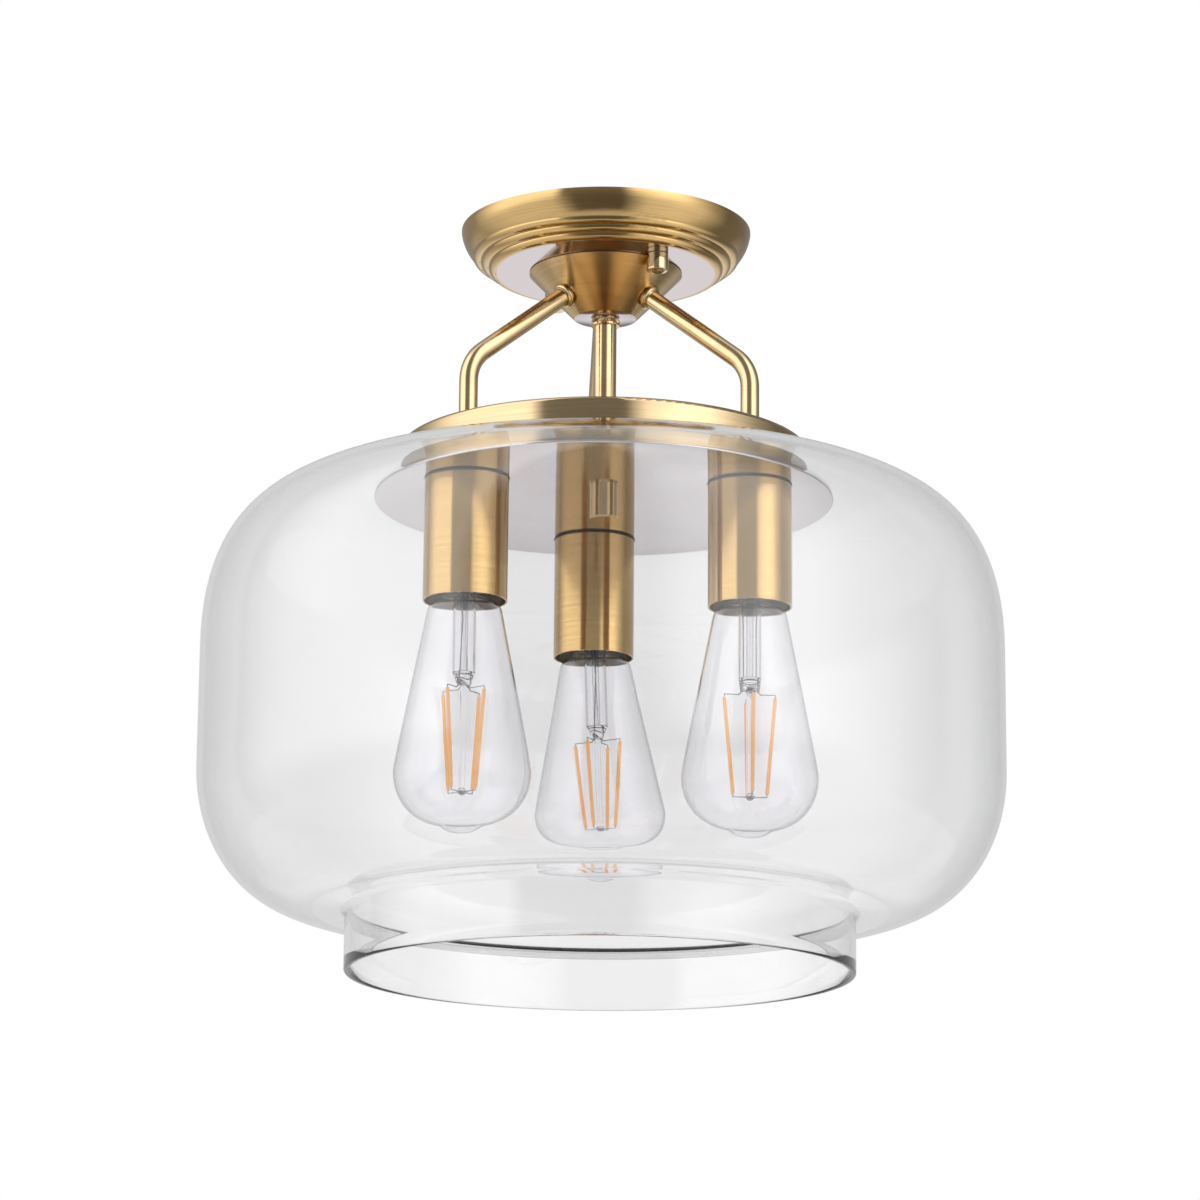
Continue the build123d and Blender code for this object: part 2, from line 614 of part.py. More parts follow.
# ---------------------------------------------------------------- glass shade
# Blown clear glass of one thickness: a ground flat seat round the top hole, a full upper
# shoulder, a straight waist, a lower shoulder that turns in, and an open neck.
def shade_outline(inset):
    """The section between the hole's edge and the shade's outline, this far inside."""
    top_z = SHADE_TOP_Z - inset
    side_r = SHADE_R - inset
    foot_z = SHADE_FOOT_Z + inset
    with BuildLine() as outline:
        Line((SHADE_HOLE_R, top_z), (SHADE_SEAT_R, top_z))
        Bezier(
            (SHADE_SEAT_R, top_z),
            (SHADE_SEAT_R + SHADE_TOP_PULL[0], top_z),
            (side_r, SHADE_WAIST_TOP_Z + SHADE_TOP_PULL[1]),
            (side_r, SHADE_WAIST_TOP_Z),
        )
        Line((side_r, SHADE_WAIST_TOP_Z), (side_r, SHADE_WAIST_FOOT_Z))
        Bezier(
            (side_r, SHADE_WAIST_FOOT_Z),
            (side_r, SHADE_WAIST_FOOT_Z - SHADE_FOOT_PULL[0]),
            (SHADE_FOOT_R + SHADE_FOOT_PULL[1], foot_z),
            (SHADE_FOOT_R, foot_z),
        )
        FilletPolyline(
            (SHADE_FOOT_R, foot_z),
            (SHADE_NECK_R - inset, foot_z),
            (SHADE_NECK_R - inset, SHADE_END_Z),
            radius=SHADE_NECK_FILLET + inset,
        )
        Polyline(
            (SHADE_NECK_R - inset, SHADE_END_Z),
            (SHADE_HOLE_R, SHADE_END_Z),
            (SHADE_HOLE_R, top_z),
        )
    return outline.edges()


shade_outer = shade_outline(0)
shade_inner = shade_outline(SHADE_WALL)
with BuildPart() as glass_shade:
    with BuildSketch(Plane.XZ) as shade_section:
        make_face(shade_outer)
        make_face(shade_inner, mode=Mode.SUBTRACT)
        fillet(shade_section.vertices().group_by(Axis.Y)[0], SHADE_WALL * SHADE_RIM_ROUND)
    revolve(axis=Axis.Z)
keep(glass_shade.part, "glass_shade")


# ---------------------------------------------------------------- sockets
def socket_cup(angle):
    """A drawn brass cup, open downward, clamped under the cap by the arm's nut."""
    with BuildPart() as cup:
        with BuildSketch(upright(angle, LAMP_CIRCLE_R)):
            with BuildLine():
                FilletPolyline(
                    (0, CAP_UNDER_Z),
                    (CUP_R, CAP_UNDER_Z),
                    (CUP_R, CUP_MOUTH_Z),
                    radius=CUP_EDGE_R,
                )
                offset(amount=CUP_WALL, side=Side.RIGHT)
            make_face()
        revolve(axis=upright_axis(angle, LAMP_CIRCLE_R))
        with BuildSketch(Plane(at(angle, LAMP_CIRCLE_R, CAP_UNDER_Z))):
            Circle(THREAD_HOLE_R)
        extrude(amount=-CUP_WALL, mode=Mode.SUBTRACT)
    return cup.part


def lampholder(angle):
    """The moulded body that screws on the arm's end and holds the shell and the contact."""
    with BuildPart() as holder:
        with BuildSketch(upright(angle, LAMP_CIRCLE_R)):
            with BuildLine():
                Polyline(
                    (THREAD_HOLE_R, CUP_NUT_Z),
                    (HOLDER_R, CUP_NUT_Z),
                    (HOLDER_R, HOLDER_MOUTH_Z),
                    (HOLDER_BORE_R, HOLDER_MOUTH_Z),
                    (HOLDER_BORE_R, HOLDER_SHELL_TOP_Z),
                    (CONTACT_REACH + SEAT, HOLDER_SHELL_TOP_Z),
                    (CONTACT_REACH + SEAT, HOLDER_SHELL_TOP_Z + 2 * CONTACT_THICK),
                    (0, HOLDER_SHELL_TOP_Z + 2 * CONTACT_THICK),
                    (0, CUP_NUT_Z - HOLDER_TOP_THICK),
                    (THREAD_HOLE_R, CUP_NUT_Z - HOLDER_TOP_THICK),
                    close=True,
                )
            make_face()
        revolve(axis=upright_axis(angle, LAMP_CIRCLE_R))
    return holder.part


def screw_shell(angle):
    """The thin threaded sleeve that takes the lamp's cap."""
    with BuildPart() as shell:
        with BuildSketch(Plane(at(angle, LAMP_CIRCLE_R, SHELL_LIP_Z))):
            Circle(SHELL_R)
            Circle(SHELL_R - SHELL_WALL, mode=Mode.SUBTRACT)
        extrude(amount=HOLDER_SHELL_TOP_Z - SHELL_LIP_Z)
    return shell.part


def centre_contact(angle):
    """A spring strip: a flat foot in the body and a tongue bent down to meet the lamp."""
    foot_z = HOLDER_SHELL_TOP_Z + CONTACT_THICK
    tongue_z = LAMP_TIP_Z + SEAT + CONTACT_THICK / 2
    with BuildPart() as contact:
        with BuildSketch(upright(angle, LAMP_CIRCLE_R)):
            with BuildLine() as strip:
                Polyline(
                    (CONTACT_REACH - CONTACT_WIDTH / 2, foot_z),
                    (-CONTACT_REACH / 2, foot_z),
                    (CONTACT_WIDTH / 2, tongue_z),
                    (-CONTACT_WIDTH / 2, tongue_z),
                )
            trace(strip.line, line_width=CONTACT_THICK)
        extrude(amount=CONTACT_WIDTH / 2, both=True)
    return contact.part


for number, lamp_angle in enumerate(LAMP_ANGLES, start=1):
    keep(socket_cup(lamp_angle), f"socket_cup_{number}")
    keep(lampholder(lamp_angle), f"lampholder_{number}")
    keep(screw_shell(lamp_angle), f"screw_shell_{number}")
    keep(centre_contact(lamp_angle), f"centre_contact_{number}")

keep(
    hex_nuts(
        [Plane(at(lamp_angle, LAMP_CIRCLE_R, CUP_NUT_Z)) for lamp_angle in LAMP_ANGLES],
        NUT_ACROSS_FLATS,
        THREAD_HOLE_R,
        CAP_UNDER_Z - CUP_WALL - CUP_NUT_Z,
    ),
    "socket_nuts",
)


# ---------------------------------------------------------------- lamps
def lamp_outline(inset):
    """The half section from the lamp's axis to its outline, this far inside."""
    throat_r = LAMP_THROAT_R - inset
    neck_r = LAMP_NECK_R - inset
    side_r = LAMP_R - inset
    pip_z = LAMP_PIP_Z + inset
    end_z = LAMP_END_Z + inset
    with BuildLine() as outline:
        Line((throat_r, LAMP_THROAT_TOP_Z), (throat_r, LAMP_THROAT_Z))
        Bezier(
            (throat_r, LAMP_THROAT_Z),
            (throat_r, LAMP_THROAT_Z - LAMP_NECK_PULL[0]),
            (neck_r - LAMP_NECK_LEAN * LAMP_NECK_PULL[0], LAMP_NECK_Z + LAMP_NECK_PULL[0]),
            (neck_r, LAMP_NECK_Z),
        )
        Bezier(
            (neck_r, LAMP_NECK_Z),
            (neck_r + LAMP_NECK_LEAN * LAMP_NECK_PULL[1], LAMP_NECK_Z - LAMP_NECK_PULL[1]),
            (side_r, LAMP_EQUATOR_Z + LAMP_BELLY_PULL[0]),
            (side_r, LAMP_EQUATOR_Z),
        )
        Bezier(
            (side_r, LAMP_EQUATOR_Z),
            (side_r, LAMP_EQUATOR_Z - LAMP_BELLY_PULL[1]),
            (LAMP_PIP_R + LAMP_PIP_PULL[0], pip_z + LAMP_PIP_PULL[1]),
            (LAMP_PIP_R, pip_z),
        )
        Bezier(
            (LAMP_PIP_R, pip_z),
            (LAMP_PIP_R - LAMP_PIP_ROUND[0], end_z + LAMP_PIP_ROUND[1]),
            (LAMP_PIP_R - 2 * LAMP_PIP_ROUND[0], end_z),
            (0, end_z),
        )
        Polyline((0, end_z), (0, LAMP_THROAT_TOP_Z), (throat_r, LAMP_THROAT_TOP_Z))
    return outline.edges()


def lamp_glass(angle):
    """The blown teardrop: throat in the cap, flared neck, full belly and a sealed pip."""
    outer = lamp_outline(0)
    inner = lamp_outline(LAMP_WALL)
    with BuildPart() as glass:
        with BuildSketch(upright(angle, LAMP_CIRCLE_R)):
            make_face(outer)
            make_face(inner, mode=Mode.SUBTRACT)
        revolve(axis=upright_axis(angle, LAMP_CIRCLE_R))
    return glass.part


def lamp_cap(angle):
    """The screw cap of the lamp, a thin brass sleeve with a rolled shoulder."""
    with BuildPart() as cap:
        with BuildSketch(upright(angle, LAMP_CIRCLE_R)):
            with BuildLine():
                Polyline(
                    (LAMP_TIP_R + FIT, LAMP_CAP_TOP_Z),
                    (LAMP_CAP_R - LAMP_CAP_SHOULDER, LAMP_CAP_TOP_Z),
                    (LAMP_CAP_R, LAMP_CAP_TOP_Z - LAMP_CAP_SHOULDER),
                    (LAMP_CAP_R, LAMP_CAP_TOP_Z - LAMP_CAP_LENGTH),
                )
                offset(amount=LAMP_CAP_WALL, side=Side.RIGHT)
            make_face()
        revolve(axis=upright_axis(angle, LAMP_CIRCLE_R))
    return cap.part


def lamp_tip(angle):
    """The end contact: a solder button on a disc of black glass."""
    with BuildPart() as tip:
        with BuildSketch(upright(angle, LAMP_CIRCLE_R)):
            with BuildLine():
                Polyline(
                    (0, LAMP_CAP_TOP_Z - LAMP_CAP_WALL),
                    (LAMP_TIP_R, LAMP_CAP_TOP_Z - LAMP_CAP_WALL),
                    (LAMP_TIP_R, LAMP_CAP_TOP_Z),
                    (LAMP_TIP_BUTTON_R, LAMP_CAP_TOP_Z + LAMP_CAP_WALL),
                )
                Bezier(
                    (LAMP_TIP_BUTTON_R, LAMP_CAP_TOP_Z + LAMP_CAP_WALL),
                    (LAMP_TIP_BUTTON_R, LAMP_TIP_Z),
                    (0, LAMP_TIP_Z),
                )
                Line((0, LAMP_TIP_Z), (0, LAMP_CAP_TOP_Z - LAMP_CAP_WALL))
            make_face()
        revolve(axis=upright_axis(angle, LAMP_CIRCLE_R))
    return tip.part


def lamp_stem(angle):
    """The glass mount: a flare sealed to the throat, a tube, a flat press and a thin rod."""
    flare_r = LAMP_THROAT_R - LAMP_WALL - FIT
    flare_z = LAMP_THROAT_TOP_Z - LAMP_WALL
    with BuildPart() as stem:
        with BuildSketch(upright(angle, LAMP_CIRCLE_R)):
            with BuildLine():
                FilletPolyline(
                    (flare_r, flare_z),
                    (LAMP_STEM_R, flare_z - 2 * LAMP_STEM_R),
                    (LAMP_STEM_R, LAMP_STEM_FOOT_Z),
                    radius=LAMP_STEM_R,
                )
                offset(amount=LAMP_STEM_WALL, side=Side.RIGHT)
            make_face()
        revolve(axis=upright_axis(angle, LAMP_CIRCLE_R))
        with BuildSketch(Plane(at(angle, LAMP_CIRCLE_R, LAMP_STEM_FOOT_Z))):
            Circle(LAMP_STEM_R)
        with BuildSketch(Plane(at(angle, LAMP_CIRCLE_R, LAMP_PRESS_FOOT_Z))):
            Ellipse(*LAMP_PRESS_HALF)
        loft()
        with BuildSketch(Plane(at(angle, LAMP_CIRCLE_R, LAMP_PRESS_FOOT_Z))):
            Circle(LAMP_ROD_R)
        extrude(amount=FILAMENT_FOOT[1] - LAMP_PRESS_FOOT_Z - FILAMENT_PIN)
    return stem.part


def lamp_filaments(angle, first):
    """Four leaning filaments between an upper and a lower wire spider on the glass rod."""
    middle = Vector(*at(angle, LAMP_CIRCLE_R))
    with BuildPart() as filaments:
        for z in (FILAMENT_TOP[1] + FILAMENT_PIN, FILAMENT_FOOT[1] - FILAMENT_PIN):
            with BuildSketch(Plane(middle + Vector(0, 0, z - FILAMENT_WIRE_R))):
                Circle(SPIDER_R)
                Circle(LAMP_ROD_R + FIT, mode=Mode.SUBTRACT)
            extrude(amount=2 * FILAMENT_WIRE_R)
        for number in range(FILAMENTS):
            out = Vector(1, 0, 0).rotate(Axis.Z, first + number * 360 / FILAMENTS)
            top = middle + out * FILAMENT_TOP[0] + Vector(0, 0, FILAMENT_TOP[1])
            foot = middle + out * FILAMENT_FOOT[0] + Vector(0, 0, FILAMENT_FOOT[1])
            with BuildSketch(Plane(top, z_dir=foot - top)):
                Circle(FILAMENT_R)
            extrude(amount=(foot - top).length)
            for end, turn in ((top, 1), (foot, -1)):
                level = end + Vector(0, 0, FILAMENT_PIN * turn)
                with BuildSketch(Plane(end + Vector(0, 0, -FILAMENT_R / 2 * turn), z_dir=(0, 0, turn))):
                    Circle(FILAMENT_WIRE_R)
                extrude(amount=FILAMENT_PIN + FILAMENT_R / 2 + FILAMENT_WIRE_R)
                start = middle + out * (SPIDER_R - FILAMENT_WIRE_R) + Vector(0, 0, level.Z)
                with BuildSketch(Plane(start, z_dir=level - start)):
                    Circle(FILAMENT_WIRE_R)
                extrude(amount=(level - start).length)
    return filaments.part


for number, lamp_angle in enumerate(LAMP_ANGLES, start=1):
    keep(lamp_glass(lamp_angle), f"bulb_glass_{number}")
    keep(lamp_cap(lamp_angle), f"bulb_cap_{number}")
    keep(lamp_tip(lamp_angle), f"bulb_tip_{number}")
    keep(lamp_stem(lamp_angle), f"bulb_stem_{number}")
    keep(lamp_filaments(lamp_angle, FILAMENT_TURNS[number - 1]), f"bulb_filaments_{number}")
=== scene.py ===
import math

import bpy
from mathutils import Euler, Matrix, Vector


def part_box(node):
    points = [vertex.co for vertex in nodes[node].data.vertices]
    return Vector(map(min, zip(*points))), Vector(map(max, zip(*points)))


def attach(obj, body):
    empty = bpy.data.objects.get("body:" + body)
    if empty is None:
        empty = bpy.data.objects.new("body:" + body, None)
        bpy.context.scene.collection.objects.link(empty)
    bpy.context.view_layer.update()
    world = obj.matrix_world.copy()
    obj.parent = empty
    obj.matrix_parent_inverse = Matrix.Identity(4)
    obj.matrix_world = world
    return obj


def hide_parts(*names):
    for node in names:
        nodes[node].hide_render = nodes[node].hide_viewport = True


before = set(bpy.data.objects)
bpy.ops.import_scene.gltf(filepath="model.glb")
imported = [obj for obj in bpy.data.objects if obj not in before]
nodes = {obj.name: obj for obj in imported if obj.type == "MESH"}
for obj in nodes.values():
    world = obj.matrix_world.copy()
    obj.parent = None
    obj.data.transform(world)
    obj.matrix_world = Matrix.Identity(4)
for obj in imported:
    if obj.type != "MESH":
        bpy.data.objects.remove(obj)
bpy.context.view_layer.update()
bpy.ops.object.select_all(action="DESELECT")


# ------------------------------------------------------------------ camera
# The light hangs from a ceiling and is seen from a little below, with a long lens, a few
# degrees left of straight on.
CAMERA_DISTANCE = 2.0293
CAMERA_AZIMUTH = 3.3        # degrees left of the light's front
CAMERA_Z = -0.6691
CAMERA_PITCH = 13.433
CAMERA_ROLL = 0.5
CAMERA_AIM = 0.04           # degrees left of the light's axis
CAMERA_LENS = 130.6         # mm
CAMERA_SENSOR = 36          # mm
CAMERA_FAR = 50
LIGHT_BOUNCES = 24          # enough for the shade's two walls and a lamp behind them
MIRROR_BOUNCES = 10

camera = bpy.data.objects.new("camera", bpy.data.cameras.new("camera"))
bpy.context.scene.collection.objects.link(camera)
camera.data.lens = CAMERA_LENS
camera.data.sensor_width = CAMERA_SENSOR
camera.data.clip_end = CAMERA_FAR
camera_side = math.radians(CAMERA_AZIMUTH)
camera.location = (
    -CAMERA_DISTANCE * math.sin(camera_side),
    -CAMERA_DISTANCE * math.cos(camera_side),
    CAMERA_Z,
)
camera_turn = Euler((math.radians(90 + CAMERA_PITCH), 0, -math.radians(CAMERA_AZIMUTH - CAMERA_AIM)))
camera_roll = Matrix.Rotation(math.radians(CAMERA_ROLL), 3, "Z")
camera.rotation_euler = (camera_turn.to_matrix() @ camera_roll).to_euler()
bpy.context.scene.camera = camera
bpy.context.scene.view_settings.view_transform = "Standard"
bpy.context.scene.cycles.max_bounces = LIGHT_BOUNCES
bpy.context.scene.cycles.transmission_bounces = LIGHT_BOUNCES
bpy.context.scene.cycles.transparent_max_bounces = LIGHT_BOUNCES
bpy.context.scene.cycles.glossy_bounces = MIRROR_BOUNCES


# ------------------------------------------------------------------ studio
# A white room with a pale floor. What the brass and the glass mirror is the room round the
# camera: a tall soft box on each side, a dark gap between them and greyer walls beyond them.
FLOOR_Z = -2.6
FLOOR_HALF = 6.0
FLOOR_WHITE = 0.6           # how much of the floor is plain white near the light; all of it far off
FLOOR_FADE = (1.5, 5.0)     # where it becomes so, in metres from the middle
FLOOR_PAINT = (0.9, 0.9, 0.9)
WORLD_LEVEL = 0.8           # on dull surfaces; straight behind the light the room is plain white
SOFT_BOXES = (("soft_box_left", -70), ("soft_box_right", 45))   # degrees right of the camera
SOFT_BOX_SIZE = (1.2, 2.4)
SOFT_BOX_WATTS = 40
SOFT_BOX_AWAY = 2.4
SOFT_BOX_Z = -0.4
SOFT_BOX_AIM_Z = -0.2
ROOM_PEAK = 4.0             # brighter than any part of the mirrored room
# the mirrored room's level at eye height: degrees right of the camera as the light sees them
ROOM_WALL = (
    (-180, 0.30), (-150, 0.35), (-126, 0.40), (-112, 0.90), (-98, 1.60), (-86, 2.00),
    (-42, 2.00), (-34, 0.26), (12, 0.24), (24, 1.75), (44, 2.50), (60, 2.30),
    (78, 1.10), (94, 0.50), (112, 0.20), (140, 0.25), (165, 0.30), (180, 0.30),
)
# and below eye height
ROOM_LOW = (
    (-180, 1.05), (-150, 0.70), (-124, 0.50), (-106, 0.85), (-90, 1.00), (-60, 1.00), (-44, 0.90),
    (-34, 0.40), (-26, 0.16), (14, 0.13), (24, 0.50), (36, 1.00), (66, 1.20), (84, 1.05),
    (98, 0.60), (112, 0.22), (134, 0.22), (150, 0.60), (180, 1.05),
)
# high over the light
ROOM_TOP = (
    (-180, 0.50), (-100, 1.00), (-46, 1.30), (-30, 0.30), (14, 0.30), (30, 1.20), (70, 1.30),
    (110, 0.60), (180, 0.50),
)
# what clear glass shows of the wall behind the light
ROOM_BACK = ((-180, 0.72), (-126, 0.72), (-112, 0.0), (100, 0.0), (116, 0.55), (180, 0.72))
ROOM_THROUGH = 0.5          # the least that light led through the thick of the glass brings
ROOM_LOW_EYE = (-0.30, 0.02)    # the sine of the angle up: the low level below, the wall's above
ROOM_TOP_EYE = (0.80, 0.95)     # and the wall's below, the top's above


def new_material(name):
    """An empty node material with its output node."""
    material = bpy.data.materials.new(name)
    material.use_nodes = True
    tree = material.node_tree
    tree.nodes.clear()
    return material, tree, tree.nodes.new("ShaderNodeOutputMaterial")


def sum_up(tree, operation, *values):
    """A new Math node's result; a value is a number or another node's output."""
    node = tree.nodes.new("ShaderNodeMath")
    node.operation = operation
    for socket, value in zip(node.inputs, values):
        if isinstance(value, (int, float)):
            socket.default_value = value
        else:
            tree.links.new(value, socket)
    return node.outputs[0]


def rise(tree, value, start, stop):
    """0 up to one number, 1 from another, and smooth between them."""
    node = tree.nodes.new("ShaderNodeMapRange")
    node.interpolation_type = "SMOOTHSTEP"
    node.inputs["From Min"].default_value = start
    node.inputs["From Max"].default_value = stop
    tree.links.new(value, node.inputs["Value"])
    return node.outputs["Result"]


def blend_of(tree, share, first, second):
    """One number or another by a share."""
    part = sum_up(tree, "MULTIPLY", sum_up(tree, "SUBTRACT", 1, share), first)
    return sum_up(tree, "ADD", part, sum_up(tree, "MULTIPLY", share, second))


def white_behind(tree):
    """1 where the camera, a mirror or clear glass looks straight at the room."""
    seen = tree.nodes.new("ShaderNodeLightPath").outputs
    straight = sum_up(tree, "MAXIMUM", seen["Is Camera Ray"], seen["Is Glossy Ray"])
    return sum_up(tree, "MAXIMUM", straight, seen["Is Transmission Ray"])


world = bpy.data.worlds.new("studio")
bpy.context.scene.world = world
world.use_nodes = True
world.cycles.sampling_method = "NONE"
tree = world.node_tree
background = tree.nodes["Background"]
background.inputs["Color"].default_value = (1, 1, 1, 1)
look = tree.nodes.new("ShaderNodeTexCoord")
compass = tree.nodes.new("ShaderNodeMapping")
compass.inputs["Rotation"].default_value = (0, 0, math.radians(90 + CAMERA_AZIMUTH))
tree.links.new(look.outputs["Generated"], compass.inputs["Vector"])
bearing = tree.nodes.new("ShaderNodeTexGradient")
bearing.gradient_type = "RADIAL"
tree.links.new(compass.outputs[0], bearing.inputs["Vector"])


def room_level(stops):
    """The mirrored room's level round the compass."""
    ramp = tree.nodes.new("ShaderNodeValToRGB")
    ramp.color_ramp.interpolation = "LINEAR"
    points = ramp.color_ramp.elements
    while len(points) < len(stops):
        points.new(0.5)
    for number, (angle, level) in enumerate(stops):
        points[number].position = angle / 360 + 0.5
        points[number].color = (level / ROOM_PEAK, level / ROOM_PEAK, level / ROOM_PEAK, 1)
    tree.links.new(bearing.outputs["Fac"], ramp.inputs[0])
    return sum_up(tree, "MULTIPLY", ramp.outputs[0], ROOM_PEAK)


up = tree.nodes.new("ShaderNodeSeparateXYZ")
tree.links.new(look.outputs["Generated"], up.inputs[0])
seen = tree.nodes.new("ShaderNodeLightPath").outputs
over_low = rise(tree, up.outputs[2], *ROOM_LOW_EYE)
over_wall = rise(tree, up.outputs[2], *ROOM_TOP_EYE)
room = blend_of(tree, over_low, room_level(ROOM_LOW), room_level(ROOM_WALL))
room = blend_of(tree, over_wall, room, room_level(ROOM_TOP))
behind = sum_up(tree, "MULTIPLY", seen["Is Singular Ray"], room_level(ROOM_BACK))
through = sum_up(tree, "MULTIPLY", seen["Is Transmission Ray"], ROOM_THROUGH)
room = sum_up(tree, "MAXIMUM", room, sum_up(tree, "MAXIMUM", behind, through))
plain = sum_up(tree, "MULTIPLY_ADD", white_behind(tree), 1 - WORLD_LEVEL, WORLD_LEVEL)
mirrored = sum_up(tree, "GREATER_THAN", seen["Glossy Depth"], 0.5)
tree.links.new(blend_of(tree, mirrored, plain, room), background.inputs["Strength"])

floor_paint, tree, output = new_material("pale_floor")
paint = tree.nodes.new("ShaderNodeBsdfDiffuse")
paint.inputs["Color"].default_value = (*FLOOR_PAINT, 1)
white = tree.nodes.new("ShaderNodeEmission")
blend = tree.nodes.new("ShaderNodeMixShader")
place = tree.nodes.new("ShaderNodeTexCoord")
away = tree.nodes.new("ShaderNodeVectorMath")
away.operation = "LENGTH"
tree.links.new(place.outputs["Object"], away.inputs[0])
far = rise(tree, away.outputs["Value"], *FLOOR_FADE)
pale = sum_up(tree, "MULTIPLY_ADD", far, 1 - FLOOR_WHITE, FLOOR_WHITE)
tree.links.new(sum_up(tree, "MULTIPLY", white_behind(tree), pale), blend.inputs[0])
tree.links.new(paint.outputs[0], blend.inputs[1])
tree.links.new(white.outputs[0], blend.inputs[2])
tree.links.new(blend.outputs[0], output.inputs["Surface"])
bpy.ops.mesh.primitive_plane_add(size=2 * FLOOR_HALF, location=(0, 0, FLOOR_Z))
floor = bpy.context.object
floor.name = "floor"
floor.data.materials.append(floor_paint)
floor.visible_glossy = False

for name, angle in SOFT_BOXES:
    lamp = bpy.data.lights.new(name, "AREA")
    lamp.shape = "RECTANGLE"
    lamp.size, lamp.size_y = SOFT_BOX_SIZE
    lamp.energy = SOFT_BOX_WATTS
    box = bpy.data.objects.new(name, lamp)
    bpy.context.scene.collection.objects.link(box)
    turn = math.radians(angle - CAMERA_AZIMUTH)
    box.location = (SOFT_BOX_AWAY * math.sin(turn), -SOFT_BOX_AWAY * math.cos(turn), SOFT_BOX_Z)
    aim = Vector((0, 0, SOFT_BOX_AIM_Z)) - box.location
    box.rotation_euler = aim.to_track_quat("-Z", "Y").to_euler()
    box.visible_camera = False
    box.visible_glossy = False
    box.visible_transmission = False


# ------------------------------------------------------------------ canopy
# The ceiling canopy is spun from sheet brass, brushed on the lathe and lacquered. Its flat
# underside is polished and mirrors the cone below it; its pale lilac grey colour is a painted
# reflection of the white room. Two studs and cap nuts hold it up.
SATIN_LOW = (0.54, 0.355, 0.145)
SATIN_HIGH = (0.63, 0.43, 0.185)
SATIN_ROUGH = (0.13, 0.18)
# painted reflection: the pale lilac grey that the polished brass faces show of the white room, given
# as their colour
PAINTED_REFLECTION_FACE = (0.575, 0.50, 0.52)
BRIGHT_ROUGH = 0.07
BRUSH_FINE = 2600.0         # brush lines per metre, roughly
BRUSH_LONG = 30.0
BRUSH_DEPTH = 0.00005
BRUSH_BUMP = 0.06
BRUSH_SPREAD = 0.75         # how far the brushing draws a highlight out across its lines
BRUSH_TURN = 0.25
SATIN_LACQUER = (0.2, 0.1)  # the lacquer's weight and roughness
# painted shade: the dark colour given to a crevice, where the plate's edge shades a cup
CREVICE_PAINTED_SHADE = (0.05, 0.03, 0.012)
# the face that is coloured with the painted reflection
CANOPY_FACE = (-0.02095, 0.0533)    # the bright face lies below this height and inside this radius


def principled(name):
    """A node material with one Principled shader."""
    material, tree, output = new_material(name)
    shader = tree.nodes.new("ShaderNodeBsdfPrincipled")
    tree.links.new(shader.outputs[0], output.inputs["Surface"])
    return material, tree, shader


def round_axis(tree, centre):
    """The distance from an upright axis, and the place's three coordinates from it."""
    place = tree.nodes.new("ShaderNodeTexCoord")
    shift = tree.nodes.new("ShaderNodeMapping")
    shift.inputs["Location"].default_value = (-centre[0], -centre[1], 0)
    tree.links.new(place.outputs["Object"], shift.inputs["Vector"])
    split = tree.nodes.new("ShaderNodeSeparateXYZ")
    tree.links.new(shift.outputs[0], split.inputs[0])
    x, y, z = split.outputs
    squares = sum_up(tree, "ADD", sum_up(tree, "MULTIPLY", x, x), sum_up(tree, "MULTIPLY", y, y))
    return sum_up(tree, "SQRT", squares), x, y, z


def brush_lines(tree, radius, x, y, z):
    """Noise drawn out in fine rings, as brushing on a lathe leaves it."""
    join = tree.nodes.new("ShaderNodeCombineXYZ")
    for socket, value, scale in zip(join.inputs, (x, y, z), (BRUSH_LONG, BRUSH_LONG, BRUSH_FINE)):
        tree.links.new(sum_up(tree, "MULTIPLY", value, scale), socket)
    noise = tree.nodes.new("ShaderNodeTexNoise")
    noise.noise_dimensions = "4D"
    noise.inputs["Scale"].default_value = 1
    noise.inputs["Detail"].default_value = 3
    tree.links.new(join.outputs[0], noise.inputs["Vector"])
    tree.links.new(sum_up(tree, "MULTIPLY", radius, BRUSH_FINE), noise.inputs["W"])
    return noise.outputs["Fac"]


def two_tone(tree, share, low, high, start=0.35, stop=0.65):
    """Two colours blended by a pattern."""
    node = tree.nodes.new("ShaderNodeValToRGB")
    node.color_ramp.elements[0].position = start
    node.color_ramp.elements[0].color = (*low, 1)
    node.color_ramp.elements[1].position = stop
    node.color_ramp.elements[1].color = (*high, 1)
    tree.links.new(share, node.inputs[0])
    return node.outputs[0]


def between(tree, share, low, high):
    """A pattern from 0 to 1 made to run between two numbers."""
    return sum_up(tree, "MULTIPLY_ADD", share, high - low, low)


def mixed(tree, share, first, second):
    """One colour or another by a mask; a colour is a tuple or a node's output."""
    node = tree.nodes.new("ShaderNodeMix")
    node.data_type = "RGBA"
    tree.links.new(share, node.inputs[0])
    for socket, colour in zip((node.inputs[6], node.inputs[7]), (first, second)):
        if isinstance(colour, tuple):
            socket.default_value = (*colour, 1)
        else:
            tree.links.new(colour, socket)
    return node.outputs[2]


